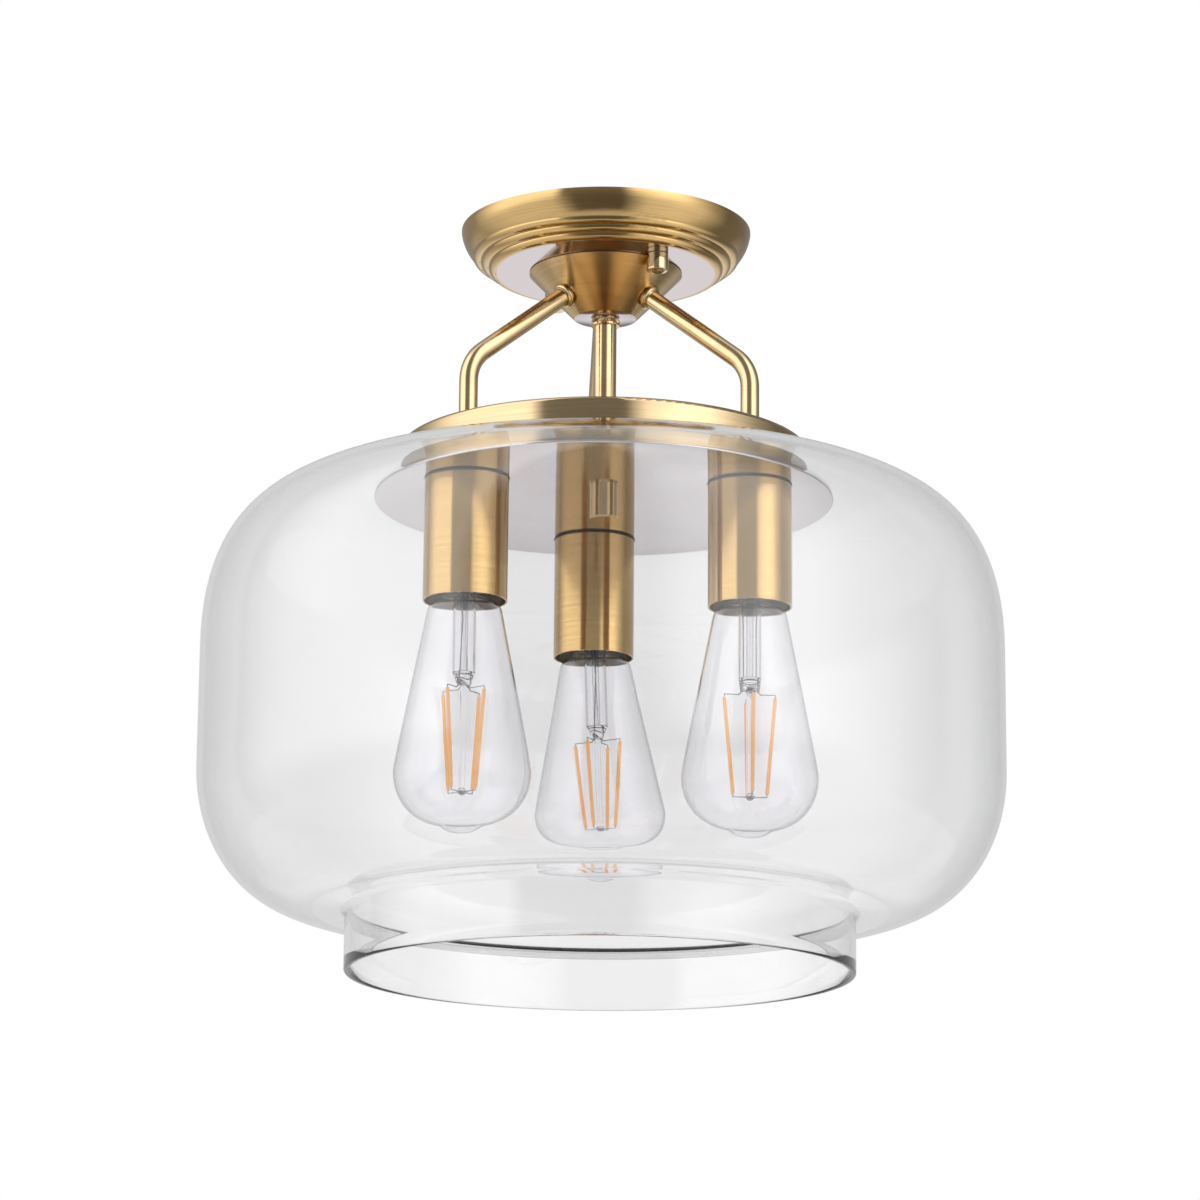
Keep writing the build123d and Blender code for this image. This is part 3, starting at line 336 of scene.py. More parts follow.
def satin_brass(
    name, centre=(0, 0), face=None, painted_shade_line=None, low=SATIN_LOW, high=SATIN_HIGH, rough=SATIN_ROUGH
):
    """Lathe-brushed, lacquered brass. What lies below a face's height and inside its radius
    is polished and coloured pale lilac grey, a painted reflection of the white room, and a crevice
    above a given height is painted dark, as painted shade."""
    material, tree, shader = principled(name)
    radius, x, y, z = round_axis(tree, centre)
    lines = brush_lines(tree, radius, x, y, z)
    colour = two_tone(tree, lines, low, high)
    roughness = between(tree, lines, *rough)
    # painted reflection: the polished face is coloured pale lilac grey instead of brass
    if face:
        height, reach = face
        under = sum_up(tree, "LESS_THAN", z, height)
        on_face = sum_up(tree, "MULTIPLY", under, sum_up(tree, "LESS_THAN", radius, reach))
        colour = mixed(tree, on_face, colour, PAINTED_REFLECTION_FACE)
        roughness = blend_of(tree, on_face, roughness, BRIGHT_ROUGH)
    # painted shade: above this height the crevice is coloured dark
    if painted_shade_line:
        colour = mixed(tree, sum_up(tree, "GREATER_THAN", z, painted_shade_line), colour, CREVICE_PAINTED_SHADE)
    tree.links.new(colour, shader.inputs["Base Color"])
    tree.links.new(roughness, shader.inputs["Roughness"])
    shader.inputs["Metallic"].default_value = 1
    shader.inputs["Anisotropic"].default_value = BRUSH_SPREAD
    shader.inputs["Anisotropic Rotation"].default_value = BRUSH_TURN
    shader.inputs["Coat Weight"].default_value = SATIN_LACQUER[0]
    shader.inputs["Coat Roughness"].default_value = SATIN_LACQUER[1]
    tangent = tree.nodes.new("ShaderNodeTangent")
    tangent.direction_type = "RADIAL"
    tangent.axis = "Z"
    tree.links.new(tangent.outputs[0], shader.inputs["Tangent"])
    bump = tree.nodes.new("ShaderNodeBump")
    bump.inputs["Strength"].default_value = BRUSH_BUMP
    bump.inputs["Distance"].default_value = BRUSH_DEPTH
    tree.links.new(lines, bump.inputs["Height"])
    tree.links.new(bump.outputs[0], shader.inputs["Normal"])
    return material


def dress(material, *names):
    """Gives CAD nodes this finish."""
    for name in names:
        nodes[name].data.materials.clear()
        nodes[name].data.materials.append(material)


dress(satin_brass("canopy_brass", face=CANOPY_FACE), "canopy")


# ------------------------------------------------------------------ strap and its fastenings
# Two stamped steel straps crossed on a hollow rivet, zinc plated, with one green screw for
# the ground wire. They hide in the canopy, and the nuts hidden further down match them.
ZINC = (0.58, 0.60, 0.62)
ZINC_BLUE = (0.48, 0.53, 0.60)
GREEN_LOW = (0.02, 0.14, 0.05)
GREEN_HIGH = (0.04, 0.24, 0.08)
GREEN_METAL = 0.7
ZINC_ROUGH = (0.28, 0.45)
THREAD_ROUGH = (0.30, 0.45)
GREEN_ROUGH = (0.35, 0.50)
MOTTLE_BUMP = 0.3
STUD_RIDGES = 1260.0        # ridges per metre of a number 8-32 thread
NIPPLE_RIDGES = 945.0
THREAD_DEPTH = 0.0002
THREAD_BUMP = 0.9


def mottled(name, low, high, rough, metallic=1.0, scale=250.0, bump_depth=0.00003):
    """A plain finish whose tone, gloss and surface vary a little."""
    material, tree, shader = principled(name)
    place = tree.nodes.new("ShaderNodeTexCoord")
    noise = tree.nodes.new("ShaderNodeTexNoise")
    noise.inputs["Scale"].default_value = scale
    noise.inputs["Detail"].default_value = 4
    tree.links.new(place.outputs["Object"], noise.inputs["Vector"])
    tree.links.new(two_tone(tree, noise.outputs["Fac"], low, high), shader.inputs["Base Color"])
    tree.links.new(between(tree, noise.outputs["Fac"], *rough), shader.inputs["Roughness"])
    shader.inputs["Metallic"].default_value = metallic
    bump = tree.nodes.new("ShaderNodeBump")
    bump.inputs["Strength"].default_value = MOTTLE_BUMP
    bump.inputs["Distance"].default_value = bump_depth
    tree.links.new(noise.outputs["Fac"], bump.inputs["Height"])
    tree.links.new(bump.outputs[0], shader.inputs["Normal"])
    return material, tree, shader, bump


def threaded(name, colour, ridges):
    """Plated steel cut with a screw thread, drawn as ridges across an upright rod."""
    material, tree, shader, bump = mottled(name, colour, colour, THREAD_ROUGH)
    place = tree.nodes.new("ShaderNodeTexCoord")
    split = tree.nodes.new("ShaderNodeSeparateXYZ")
    tree.links.new(place.outputs["Object"], split.inputs[0])
    wave = sum_up(tree, "SINE", sum_up(tree, "MULTIPLY", split.outputs[2], ridges * math.tau))
    second = tree.nodes.new("ShaderNodeBump")
    second.inputs["Strength"].default_value = THREAD_BUMP
    second.inputs["Distance"].default_value = THREAD_DEPTH
    tree.links.new(wave, second.inputs["Height"])
    tree.links.new(bump.outputs[0], second.inputs["Normal"])
    tree.links.new(second.outputs[0], shader.inputs["Normal"])
    return material


zinc = mottled("zinc_plate", ZINC_BLUE, ZINC, ZINC_ROUGH)[0]
dress(zinc, "box_strap", "stud_strap", "strap_eyelet", "stud_locknuts", "hub_washer", "hub_nut")
dress(zinc, "arm_inner_nuts", "centre_stud_nut", "socket_nuts")
dress(threaded("stud_thread", ZINC, STUD_RIDGES), "canopy_studs")
dress(threaded("nipple_thread", ZINC, NIPPLE_RIDGES), "hub_nipple", "centre_stud")
green = mottled("green_screw", GREEN_LOW, GREEN_HIGH, GREEN_ROUGH, GREEN_METAL)[0]
dress(green, "ground_screw")


# ------------------------------------------------------------------ cap nuts
# Each canopy stud ends in a loose collar and a short blind nut, turned from brass bar and
# polished, with a dished end.
POLISH_LOW = (0.62, 0.465, 0.255)
POLISH_HIGH = (0.70, 0.535, 0.305)
POLISH_CLOUD = 60.0
POLISH_DEPTH = 0.000001
POLISH_LACQUER = (0.25, 0.04)
CAP_NUT_ROUGH = (0.04, 0.08)


def polished_brass(name, rough=(0.05, 0.11)):
    """Drawn or turned brass, polished and lacquered, with the faintest cloudiness."""
    material, tree, shader, _ = mottled(
        name, POLISH_LOW, POLISH_HIGH, rough, scale=POLISH_CLOUD, bump_depth=POLISH_DEPTH
    )
    shader.inputs["Coat Weight"].default_value = POLISH_LACQUER[0]
    shader.inputs["Coat Roughness"].default_value = POLISH_LACQUER[1]
    return material


cap_nut_brass = polished_brass("cap_nut_brass", CAP_NUT_ROUGH)
for k in (1, 2):
    dress(cap_nut_brass, f"cap_nut_collar_{k}", f"cap_nut_{k}")


# ------------------------------------------------------------------ hub
# The cone hub is turned from thick brass, brushed on the lathe and lacquered, and its flat
# foot is polished and coloured with the same painted reflection of the white room. It is hollow, and a
# nipple and a nut hold its mouth against the canopy.
HUB_LOW = (0.54, 0.365, 0.175)
HUB_HIGH = (0.65, 0.455, 0.225)
HUB_ROUGH = (0.20, 0.27)
HUB_R = 0.0372
HUB_MOUTH_R = 0.029
HUB_FOOT_R = 0.0149
HUB_EDGE = 0.0005
# the painted reflection colour reaches this far above the foot
HUB_FACE_DEPTH = 0.0001     # how far the bright finish reaches above the foot
HUB_FLOOR = 0.003           # its thickness over the foot
HUB_WALL = 0.0015
HUB_HOLLOW = 0.0185         # where the hollow is as wide as the mouth, above the foot
HUB_SIDES = 160
NIPPLE_R = 0.005
WELD = 1e-6                 # points closer than this are one
POINT = 0.001               # size of the square that is merged into an outline's first point
SMOOTH_ANGLE = 35           # degrees; a sharper edge stays crisp


def pick(piece):
    """Selects one piece alone."""
    bpy.ops.object.select_all(action="DESELECT")
    piece.select_set(True)
    bpy.context.view_layer.objects.active = piece


def drawn_line(name, points):
    """A line of edges: one point, drawn out along the others. It is left in edit mode."""
    bpy.ops.object.select_all(action="DESELECT")
    bpy.ops.mesh.primitive_plane_add(size=POINT, location=points[0])
    piece = bpy.context.object
    piece.name = piece.data.name = name
    bpy.ops.object.mode_set(mode="EDIT")
    bpy.ops.mesh.merge(type="CENTER")
    for start, stop in zip(points, points[1:]):
        step = [b - a for a, b in zip(start, stop)]
        bpy.ops.mesh.extrude_region_move(TRANSFORM_OT_translate={"value": step})
    return piece


def turned(name, outline, centre=(0, 0), steps=96, closed=False):
    """A form turned round an upright axis: an outline of radius and height, spun."""
    piece = drawn_line(name, [(centre[0] + radius, centre[1], height) for radius, height in outline])
    bpy.ops.mesh.select_all(action="SELECT")
    if closed:
        bpy.ops.mesh.edge_face_add()
        bpy.ops.mesh.delete(type="ONLY_FACE")
        bpy.ops.mesh.select_all(action="SELECT")
    bpy.ops.mesh.spin(steps=steps, angle=math.tau, center=(centre[0], centre[1], 0), axis=(0, 0, 1))
    bpy.ops.mesh.select_all(action="SELECT")
    bpy.ops.mesh.remove_doubles(threshold=WELD)
    bpy.ops.mesh.normals_make_consistent(inside=False)
    bpy.ops.object.mode_set(mode="OBJECT")
    bpy.ops.object.transform_apply(location=True, rotation=True, scale=True)
    return piece


def finish_piece(piece, material, body, slot, *replaced):
    """Gives a new piece its finish and body, and hides the nodes it stands for. The slot is not used.
    """
    piece.data.materials.clear()
    piece.data.materials.append(material)
    pick(piece)
    bpy.ops.object.shade_smooth_by_angle(angle=math.radians(SMOOTH_ANGLE))
    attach(piece, body)
    if replaced:
        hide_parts(*replaced)


hub_foot, hub_top = (corner.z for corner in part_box("hub"))
hub = turned(
    "turned_hub",
    [
        (HUB_MOUTH_R, hub_top),
        (HUB_R - HUB_EDGE, hub_top),
        (HUB_R - 0.3 * HUB_EDGE, hub_top - 0.4 * HUB_EDGE),
        (HUB_R, hub_top - 1.2 * HUB_EDGE),
        (HUB_FOOT_R + HUB_EDGE, hub_foot + 0.6 * HUB_EDGE),
        (HUB_FOOT_R, hub_foot),
        (NIPPLE_R, hub_foot),
        (NIPPLE_R, hub_foot + HUB_FLOOR),
        (HUB_FOOT_R - HUB_WALL, hub_foot + HUB_FLOOR),
        (HUB_MOUTH_R, hub_foot + HUB_HOLLOW),
    ],
    steps=HUB_SIDES,
    closed=True,
)
hub_face = (hub_foot + HUB_FACE_DEPTH, HUB_FOOT_R)
hub_brass = satin_brass("hub_brass", face=hub_face, low=HUB_LOW, high=HUB_HIGH, rough=HUB_ROUGH)
finish_piece(hub, hub_brass, "fixture", "satin_brass", "hub")


# ------------------------------------------------------------------ knurled collar and centre rod
# The collar is a brass ring knurled with fine upright ribs, with a narrow neck against the
# hub. The rod below it is a plain polished brass tube.
COLLAR_R = 0.0071
COLLAR_BORE_R = 0.0041
COLLAR_NECK_R = 0.0057
COLLAR_NECK = 0.0009
COLLAR_EDGE = 0.0002
COLLAR_LIP = 0.0007
COLLAR_GROOVE = 0.0002
COLLAR_RIBS = 64
COLLAR_CUT = 0.955          # the radius between the ribs, as a share of theirs
COLLAR_ROUGH = (0.12, 0.20)
ROD_ROUGH = (0.14, 0.20)

collar_foot, collar_top = (corner.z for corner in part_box("rod_collar"))
collar = turned(
    "knurled_collar",
    [
        (COLLAR_BORE_R, collar_top),
        (COLLAR_NECK_R, collar_top),
        (COLLAR_NECK_R, collar_top - COLLAR_NECK),
        (COLLAR_R - COLLAR_EDGE, collar_top - COLLAR_NECK),
        (COLLAR_R, collar_top - COLLAR_NECK - COLLAR_EDGE),
        (COLLAR_R, collar_foot + COLLAR_LIP + 2 * COLLAR_GROOVE),
        (COLLAR_R - 2 * COLLAR_GROOVE, collar_foot + COLLAR_LIP + COLLAR_GROOVE),
        (COLLAR_R - COLLAR_EDGE / 2, collar_foot + COLLAR_LIP),
        (COLLAR_R - COLLAR_EDGE / 2, collar_foot + COLLAR_EDGE),
        (COLLAR_R - COLLAR_EDGE, collar_foot),
        (COLLAR_BORE_R, collar_foot),
    ],
    steps=2 * COLLAR_RIBS,
    closed=True,
)
bpy.ops.object.mode_set(mode="EDIT")
bpy.ops.mesh.select_mode(type="VERT")
bpy.ops.mesh.select_all(action="DESELECT")
bpy.ops.object.mode_set(mode="OBJECT")
for vertex in collar.data.vertices:
    turn = math.atan2(vertex.co.y, vertex.co.x) / math.tau * 2 * COLLAR_RIBS
    outermost = math.hypot(vertex.co.x, vertex.co.y) > COLLAR_R - COLLAR_EDGE / 4
    vertex.select = outermost and round(turn) % 2 == 1
bpy.ops.object.mode_set(mode="EDIT")
bpy.ops.transform.resize(value=(COLLAR_CUT, COLLAR_CUT, 1), center_override=(0, 0, 0))
bpy.ops.object.mode_set(mode="OBJECT")
collar_brass = polished_brass("collar_brass", COLLAR_ROUGH)
finish_piece(collar, collar_brass, "fixture", "polished_brass", "rod_collar")
dress(polished_brass("rod_brass", ROD_ROUGH), "centre_rod")


# ------------------------------------------------------------------ arms
# Three bent brass tubes, polished and lacquered. Each leaves the cone through a stepped
# ferrule that is dark in its crevice, and stands on the cap.
ARM_SLOPE = 38.1            # degrees below level
ARM_ANGLES = {1: 90, 2: 210, 3: 330}
ARM_ROOT_R = 0.02319
ARM_ROOT_Z = -0.0356
ARM_ROUGH = (0.14, 0.20)
FERRULE_SIDES = 64
# radius, and distance outward along the arm from the cone
FERRULE = (
    (0.0046, -0.0030), (0.0052, -0.0030), (0.0052, 0.0005), (0.0058, 0.0006), (0.0061, 0.0009),
    (0.0062, 0.0013), (0.0061, 0.0017), (0.0058, 0.0020), (0.0053, 0.0022), (0.0052, 0.0024),
    (0.0050, 0.0027), (0.0046, 0.0028),
)

arm_brass = polished_brass("arm_brass", ARM_ROUGH)
first_ferrule = turned("ferrule", FERRULE, steps=FERRULE_SIDES, closed=True)
for k, degrees in ARM_ANGLES.items():
    dress(arm_brass, f"arm_{k}")
    pick(first_ferrule)
    bpy.ops.object.duplicate()
    ferrule = bpy.context.object
    ferrule.name = ferrule.data.name = f"turned_ferrule_{k}"
    angle = math.radians(degrees)
    ferrule.rotation_euler = (0, math.radians(90 + ARM_SLOPE), angle)
    ferrule.location = (ARM_ROOT_R * math.cos(angle), ARM_ROOT_R * math.sin(angle), ARM_ROOT_Z)
    bpy.ops.object.transform_apply(location=True, rotation=True, scale=True)
    finish_piece(ferrule, arm_brass, "fixture", "polished_brass", f"arm_ferrule_{k}")
bpy.data.objects.remove(first_ferrule)


# ------------------------------------------------------------------ cap, plate and finial
# The cap is a shallow spun pan in brushed brass, coloured paler and whiter than the canopy: painted
# highlight for the white sheen on its lacquer. The plate under it is mirror polished and clamped to
# its edge by the finial, a small turned brass nut.
PLATE_LOW = (0.645, 0.605, 0.615)
PLATE_HIGH = (0.675, 0.635, 0.645)
# painted highlight: the cap's brass made paler and whiter than the canopy's
PAN_PAINTED_HIGHLIGHT_LOW = (0.55, 0.405, 0.225)
PAN_PAINTED_HIGHLIGHT_HIGH = (0.65, 0.485, 0.28)
PLATE_ROUGH = (0.04, 0.07)
PLATE_CLOUD = 30.0
PLATE_DEPTH = 0.000005

dress(satin_brass("cap_brass", low=PAN_PAINTED_HIGHLIGHT_LOW, high=PAN_PAINTED_HIGHLIGHT_HIGH), "shade_cap")
mirror = mottled(
    "mirror_plate", PLATE_LOW, PLATE_HIGH, PLATE_ROUGH, scale=PLATE_CLOUD, bump_depth=PLATE_DEPTH
)[0]
dress(mirror, "support_plate")
dress(polished_brass("finial_brass"), "finial")


# ------------------------------------------------------------------ sockets
# Each socket is a drawn brass cup, brushed round its axis, over a black moulded body with a
# nickel plated screw shell and a spring contact. A fine line of painted shade is coloured onto each
# cup where it meets the plate.
# painted shade: the cup is coloured dark this far below the plate, for the shadow in the gap
CUP_SHADOW = 0.0010         # depth of the dark line below the plate
MOULDING_LOW = (0.012, 0.012, 0.013)
MOULDING_HIGH = (0.03, 0.03, 0.032)
MOULDING_ROUGH = (0.30, 0.50)
NICKEL_LOW = (0.50, 0.48, 0.45)
NICKEL_HIGH = (0.60, 0.58, 0.55)
NICKEL_ROUGH = (0.14, 0.24)
SPRING_LOW = (0.50, 0.34, 0.13)
SPRING_HIGH = (0.60, 0.42, 0.18)
SPRING_ROUGH = (0.20, 0.32)

plate_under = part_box("support_plate")[0].z
moulding = mottled("black_moulding", MOULDING_LOW, MOULDING_HIGH, MOULDING_ROUGH, 0.0)[0]
nickel = mottled("nickel_plate", NICKEL_LOW, NICKEL_HIGH, NICKEL_ROUGH)[0]
contact = mottled("spring_brass", SPRING_LOW, SPRING_HIGH, SPRING_ROUGH)[0]
lamp_centres = {}
for k in (1, 2, 3):
    low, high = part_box(f"socket_cup_{k}")
    lamp_centres[k] = ((low.x + high.x) / 2, (low.y + high.y) / 2)
    cup_brass = satin_brass(f"cup_brass_{k}", lamp_centres[k], painted_shade_line=plate_under - CUP_SHADOW)
    dress(cup_brass, f"socket_cup_{k}")
    dress(moulding, f"lampholder_{k}")
    dress(nickel, f"screw_shell_{k}", f"bulb_tip_{k}")
    dress(contact, f"centre_contact_{k}")


# ------------------------------------------------------------------ glass shade
# The shade is blown in clear soda glass: a ground seat round the top hole, full shoulders,
# a straight waist and an open neck with a fire-polished rim. Seen edge on, it is painted greyer:
# painted shade for the darker room it shows there, with a little of the glass's own absorption.
SHADE_R = 0.1916
SHADE_WALL = 0.0028
SHADE_HOLE_R = 0.101
SHADE_SEAT_R = 0.112
SHADE_TOP_Z = -0.1307
SHADE_WAIST = (-0.2117, -0.2698)
SHADE_TOP_PULL = (0.0452, 0.0655)
SHADE_FOOT_PULL = (0.0343, 0.0356)
SHADE_FOOT = (0.1358, -0.3363)
SHADE_NECK_R = 0.1203
SHADE_NECK_ROUND = 0.004
SHADE_END_Z = -0.3656
SHADE_RIM = 0.0011          # how far the fire rounded the rim and the hole's edge
RIM_ANGLE = 60              # degrees; a blunter edge isn't rounded
SHADE_SIDES = 256
SHADE_CURVE = 28            # points along the shoulder, and along the foot
SHADE_TINT = (0.897, 0.897, 0.902)
# painted shade: the grey the shade glass is coloured where it is seen edge on
SHADE_EDGE = (0.70, 0.70, 0.715)
SHADE_EDGE_FROM = 0.6       # the edge's grey begins here, from 0 facing to 1 edge on
# the neck's wall is as thick as the rest; only its painted edge shade is made lighter
SHADE_NECK_PALE = 0.3       # how much less the thin neck greys at its edges


def curve(start, first_pull, second_pull, stop, count):
    """Points along a smooth curve after its start; the pulls are its two handles."""
    points = []
    for number in range(1, count + 1):
        t = number / count
        points.append(
            tuple(
                (1 - t) ** 3 * a + 3 * (1 - t) ** 2 * t * b + 3 * (1 - t) * t * t * c + t**3 * d
                for a, b, c, d in zip(start, first_pull, second_pull, stop)
            )
        )
    return points


def clear_glass(name, tint, edge, start, ior=1.47, pale=None):
    """Clear glass: nearly white straight through, and painted greyer where it is seen edge on, as
    painted shade for the darker room that glass shows at its edges. Below a height it greys less by a
    share, where pale gives the two."""
    material, tree, shader = principled(name)
    weight = tree.nodes.new("ShaderNodeLayerWeight")
    weight.inputs["Blend"].default_value = 0.5
    facing = weight.outputs["Facing"]
    if pale:
        height, share = pale
        below = sum_up(tree, "LESS_THAN", round_axis(tree, (0, 0))[3], height)
        facing = sum_up(tree, "MULTIPLY", facing, between(tree, below, 1, 1 - share))
    tree.links.new(two_tone(tree, facing, tint, edge, start, 1.0), shader.inputs["Base Color"])
    shader.inputs["Transmission Weight"].default_value = 1
    shader.inputs["Roughness"].default_value = 0
    shader.inputs["IOR"].default_value = ior
    return material


def give_wall(piece, thickness, edge=0.0):
    """Gives a shell of one surface a wall inward from it, and may round the wall's edges."""
    pick(piece)
    wall = piece.modifiers.new("wall", "SOLIDIFY")
    wall.thickness = thickness
    wall.offset = -1
    wall.use_even_offset = True
    bpy.ops.object.modifier_apply(modifier="wall")
    if edge:
        rim = piece.modifiers.new("rim", "BEVEL")
        rim.width = edge
        rim.segments = 3
        rim.limit_method = "ANGLE"
        rim.angle_limit = math.radians(RIM_ANGLE)
        bpy.ops.object.modifier_apply(modifier="rim")


def arc(centre, radius, start, stop, count):
    """Points on an arc round a centre, from one angle to another."""
    points = []
    for number in range(1, count + 1):
        turn = math.radians(start + (stop - start) * number / count)
        points.append((centre[0] + radius * math.cos(turn), centre[1] + radius * math.sin(turn)))
    return points


shade_line = [(SHADE_HOLE_R, SHADE_TOP_Z), (SHADE_SEAT_R, SHADE_TOP_Z)]
shade_line += curve(
    shade_line[-1],
    (SHADE_SEAT_R + SHADE_TOP_PULL[0], SHADE_TOP_Z),
    (SHADE_R, SHADE_WAIST[0] + SHADE_TOP_PULL[1]),
    (SHADE_R, SHADE_WAIST[0]),
    SHADE_CURVE,
)
waist_step = (SHADE_WAIST[1] - SHADE_WAIST[0]) / 6
shade_line += [(SHADE_R, SHADE_WAIST[0] + waist_step * n) for n in range(1, 7)]
shade_line += curve(
    shade_line[-1],
    (SHADE_R, SHADE_WAIST[1] - SHADE_FOOT_PULL[0]),
    (SHADE_FOOT[0] + SHADE_FOOT_PULL[1], SHADE_FOOT[1]),
    SHADE_FOOT,
    SHADE_CURVE,
)
neck_top = SHADE_FOOT[1] - SHADE_NECK_ROUND
neck_step = (SHADE_END_Z - neck_top) / 4
shade_line += arc((SHADE_NECK_R + SHADE_NECK_ROUND, neck_top), SHADE_NECK_ROUND, 90, 180, 6)
shade_line += [(SHADE_NECK_R, neck_top + neck_step * n) for n in range(1, 5)]
shade = turned("blown_shade", shade_line, steps=SHADE_SIDES)
give_wall(shade, SHADE_WALL, SHADE_RIM)
shade_glass = clear_glass(
    "shade_glass", SHADE_TINT, SHADE_EDGE, SHADE_EDGE_FROM, pale=(SHADE_FOOT[1], SHADE_NECK_PALE)
)
finish_piece(shade, shade_glass, "glass_shade", "clear_glass", "glass_shade")


# ------------------------------------------------------------------ lamps: glass
# Each lamp has a thin clear teardrop glass, blown in a mould, with a flared neck, a full
# belly and a small pip where it was sealed.
LAMP_R = 0.0321
LAMP_EQUATOR_Z = -0.2775
LAMP_END_Z = -0.3080
LAMP_THROAT = (0.0122, -0.1930)         # radius and height
LAMP_THROAT_TOP_Z = -0.176
LAMP_THROAT_PULL = 0.003
LAMP_NECK = (0.0176, -0.2005)
LAMP_NECK_SLOPE = 0.19
LAMP_NECK_PULLS = (0.003, 0.0254)       # up towards the throat, down towards the belly
LAMP_BELLY_PULLS = (0.004, 0.0130)
LAMP_PIP = (0.0105, -0.3036)
LAMP_PIP_PULLS = ((0.0135, 0.0024), (0.0026, 0.0016), 0.0052)
LAMP_WALL = 0.0008
LAMP_SIDES = 128
LAMP_NECK_POINTS = 26
LAMP_BELLY_POINTS = 20
LAMP_TINT = (0.975, 0.972, 0.985)
# painted shade: a near black colour for the lamp glass seen edge on, drawing its dark outline
LAMP_EDGE = (0.04, 0.04, 0.05)
LAMP_EDGE_FROM = 0.80
LAMP_IOR = 1.45
LAMP_LEAN = 2.2             # degrees, of the back lamp's glass and mount in its cap
LAMP_LEANING = ("lamp_glass", "lamp_mount", "lamp_wires", "lamp_filaments")

lamp_glass = clear_glass("lamp_glass", LAMP_TINT, LAMP_EDGE, LAMP_EDGE_FROM, LAMP_IOR)


def lamp_line():
    """The outline of a lamp's glass from the throat in its cap to the pip."""
    rise_up, run_down = LAMP_NECK_PULLS
    into_pip, out_of_pip, end_pull = LAMP_PIP_PULLS
    line = [(LAMP_THROAT[0], LAMP_THROAT_TOP_Z), LAMP_THROAT]
    line += curve(
        LAMP_THROAT,
        (LAMP_THROAT[0], LAMP_THROAT[1] - LAMP_THROAT_PULL),
        (LAMP_NECK[0] - LAMP_NECK_SLOPE * rise_up, LAMP_NECK[1] + rise_up),
        LAMP_NECK,
        6,
    )
    line += curve(
        LAMP_NECK,
        (LAMP_NECK[0] + LAMP_NECK_SLOPE * run_down, LAMP_NECK[1] - run_down),
        (LAMP_R, LAMP_EQUATOR_Z + LAMP_BELLY_PULLS[0]),
        (LAMP_R, LAMP_EQUATOR_Z),
        LAMP_NECK_POINTS,
    )
    line += curve(
        (LAMP_R, LAMP_EQUATOR_Z),
        (LAMP_R, LAMP_EQUATOR_Z - LAMP_BELLY_PULLS[1]),
        (LAMP_PIP[0] + into_pip[0], LAMP_PIP[1] + into_pip[1]),
        LAMP_PIP,
        LAMP_BELLY_POINTS,
    )
    line += curve(
        LAMP_PIP,
        (LAMP_PIP[0] - out_of_pip[0], LAMP_END_Z + out_of_pip[1]),
        (LAMP_PIP[0] - end_pull, LAMP_END_Z),
        (0, LAMP_END_Z),
        8,
    )
    return line


def lamp_copy(piece, k, name, turn=0):
    """A lamp's piece, modelled on the back lamp's axis, copied to lamp k and turned there.
    The back lamp itself was cemented a little crooked in its cap."""
    pick(piece)
    bpy.ops.object.duplicate()
    copy = bpy.context.object
    copy.name = copy.data.name = f"{name}_{k}"
    bpy.ops.object.mode_set(mode="EDIT")
    bpy.ops.mesh.select_all(action="SELECT")
    shift = Vector(lamp_centres[k]) - Vector(lamp_centres[1])
    bpy.ops.transform.translate(value=(shift.x, shift.y, 0))
    if turn:
        axis = (*lamp_centres[k], 0)
        bpy.ops.transform.rotate(value=-math.radians(turn), orient_axis="Z", center_override=axis)
    if k == 1 and name in LAMP_LEANING:
        root = (*lamp_centres[k], LAMP_THROAT_TOP_Z)
        bpy.ops.transform.rotate(value=math.radians(LAMP_LEAN), orient_axis="Y", center_override=root)
    bpy.ops.object.mode_set(mode="OBJECT")
    return copy


blown = turned("blown", lamp_line(), lamp_centres[1], LAMP_SIDES)
give_wall(blown, LAMP_WALL)
for k in (1, 2, 3):
    glass = lamp_copy(blown, k, "lamp_glass")
    finish_piece(glass, lamp_glass, f"bulb_{k}", "lamp_glass", f"bulb_glass_{k}")
    glass.visible_shadow = glass.visible_diffuse = False
bpy.data.objects.remove(blown)


# ------------------------------------------------------------------ lamps: screw caps
# The cap is a thin nickel plated sleeve with a rolled thread, crimped and cemented to the
# glass, with a shoulder that narrows to the black insulator at its end.
CAP_R = 0.0131
CAP_THREAD_DEPTH = 0.0007
CAP_TOP_Z = -0.1652
CAP_FOOT_Z = -0.1905
CAP_PITCH = 0.003629
CAP_TURNS = 5
CAP_SHOULDER = 0.0014
CAP_THREAD_TOP_Z = -0.1675
CAP_WALL = 0.0004
CAP_END_R = 0.0066          # where the shoulder meets the insulator
CAP_LIP = 0.0002            # the plain lip under the thread is this much narrower
CAP_LIP_HEIGHT = 0.0005
CAP_CLEAR = 0.00005         # the sleeve passes this far inside the thread's grooves
CAP_RIDGE_STEPS = 10
THREAD_SIDES = 48
SLEEVE_SIDES = 64

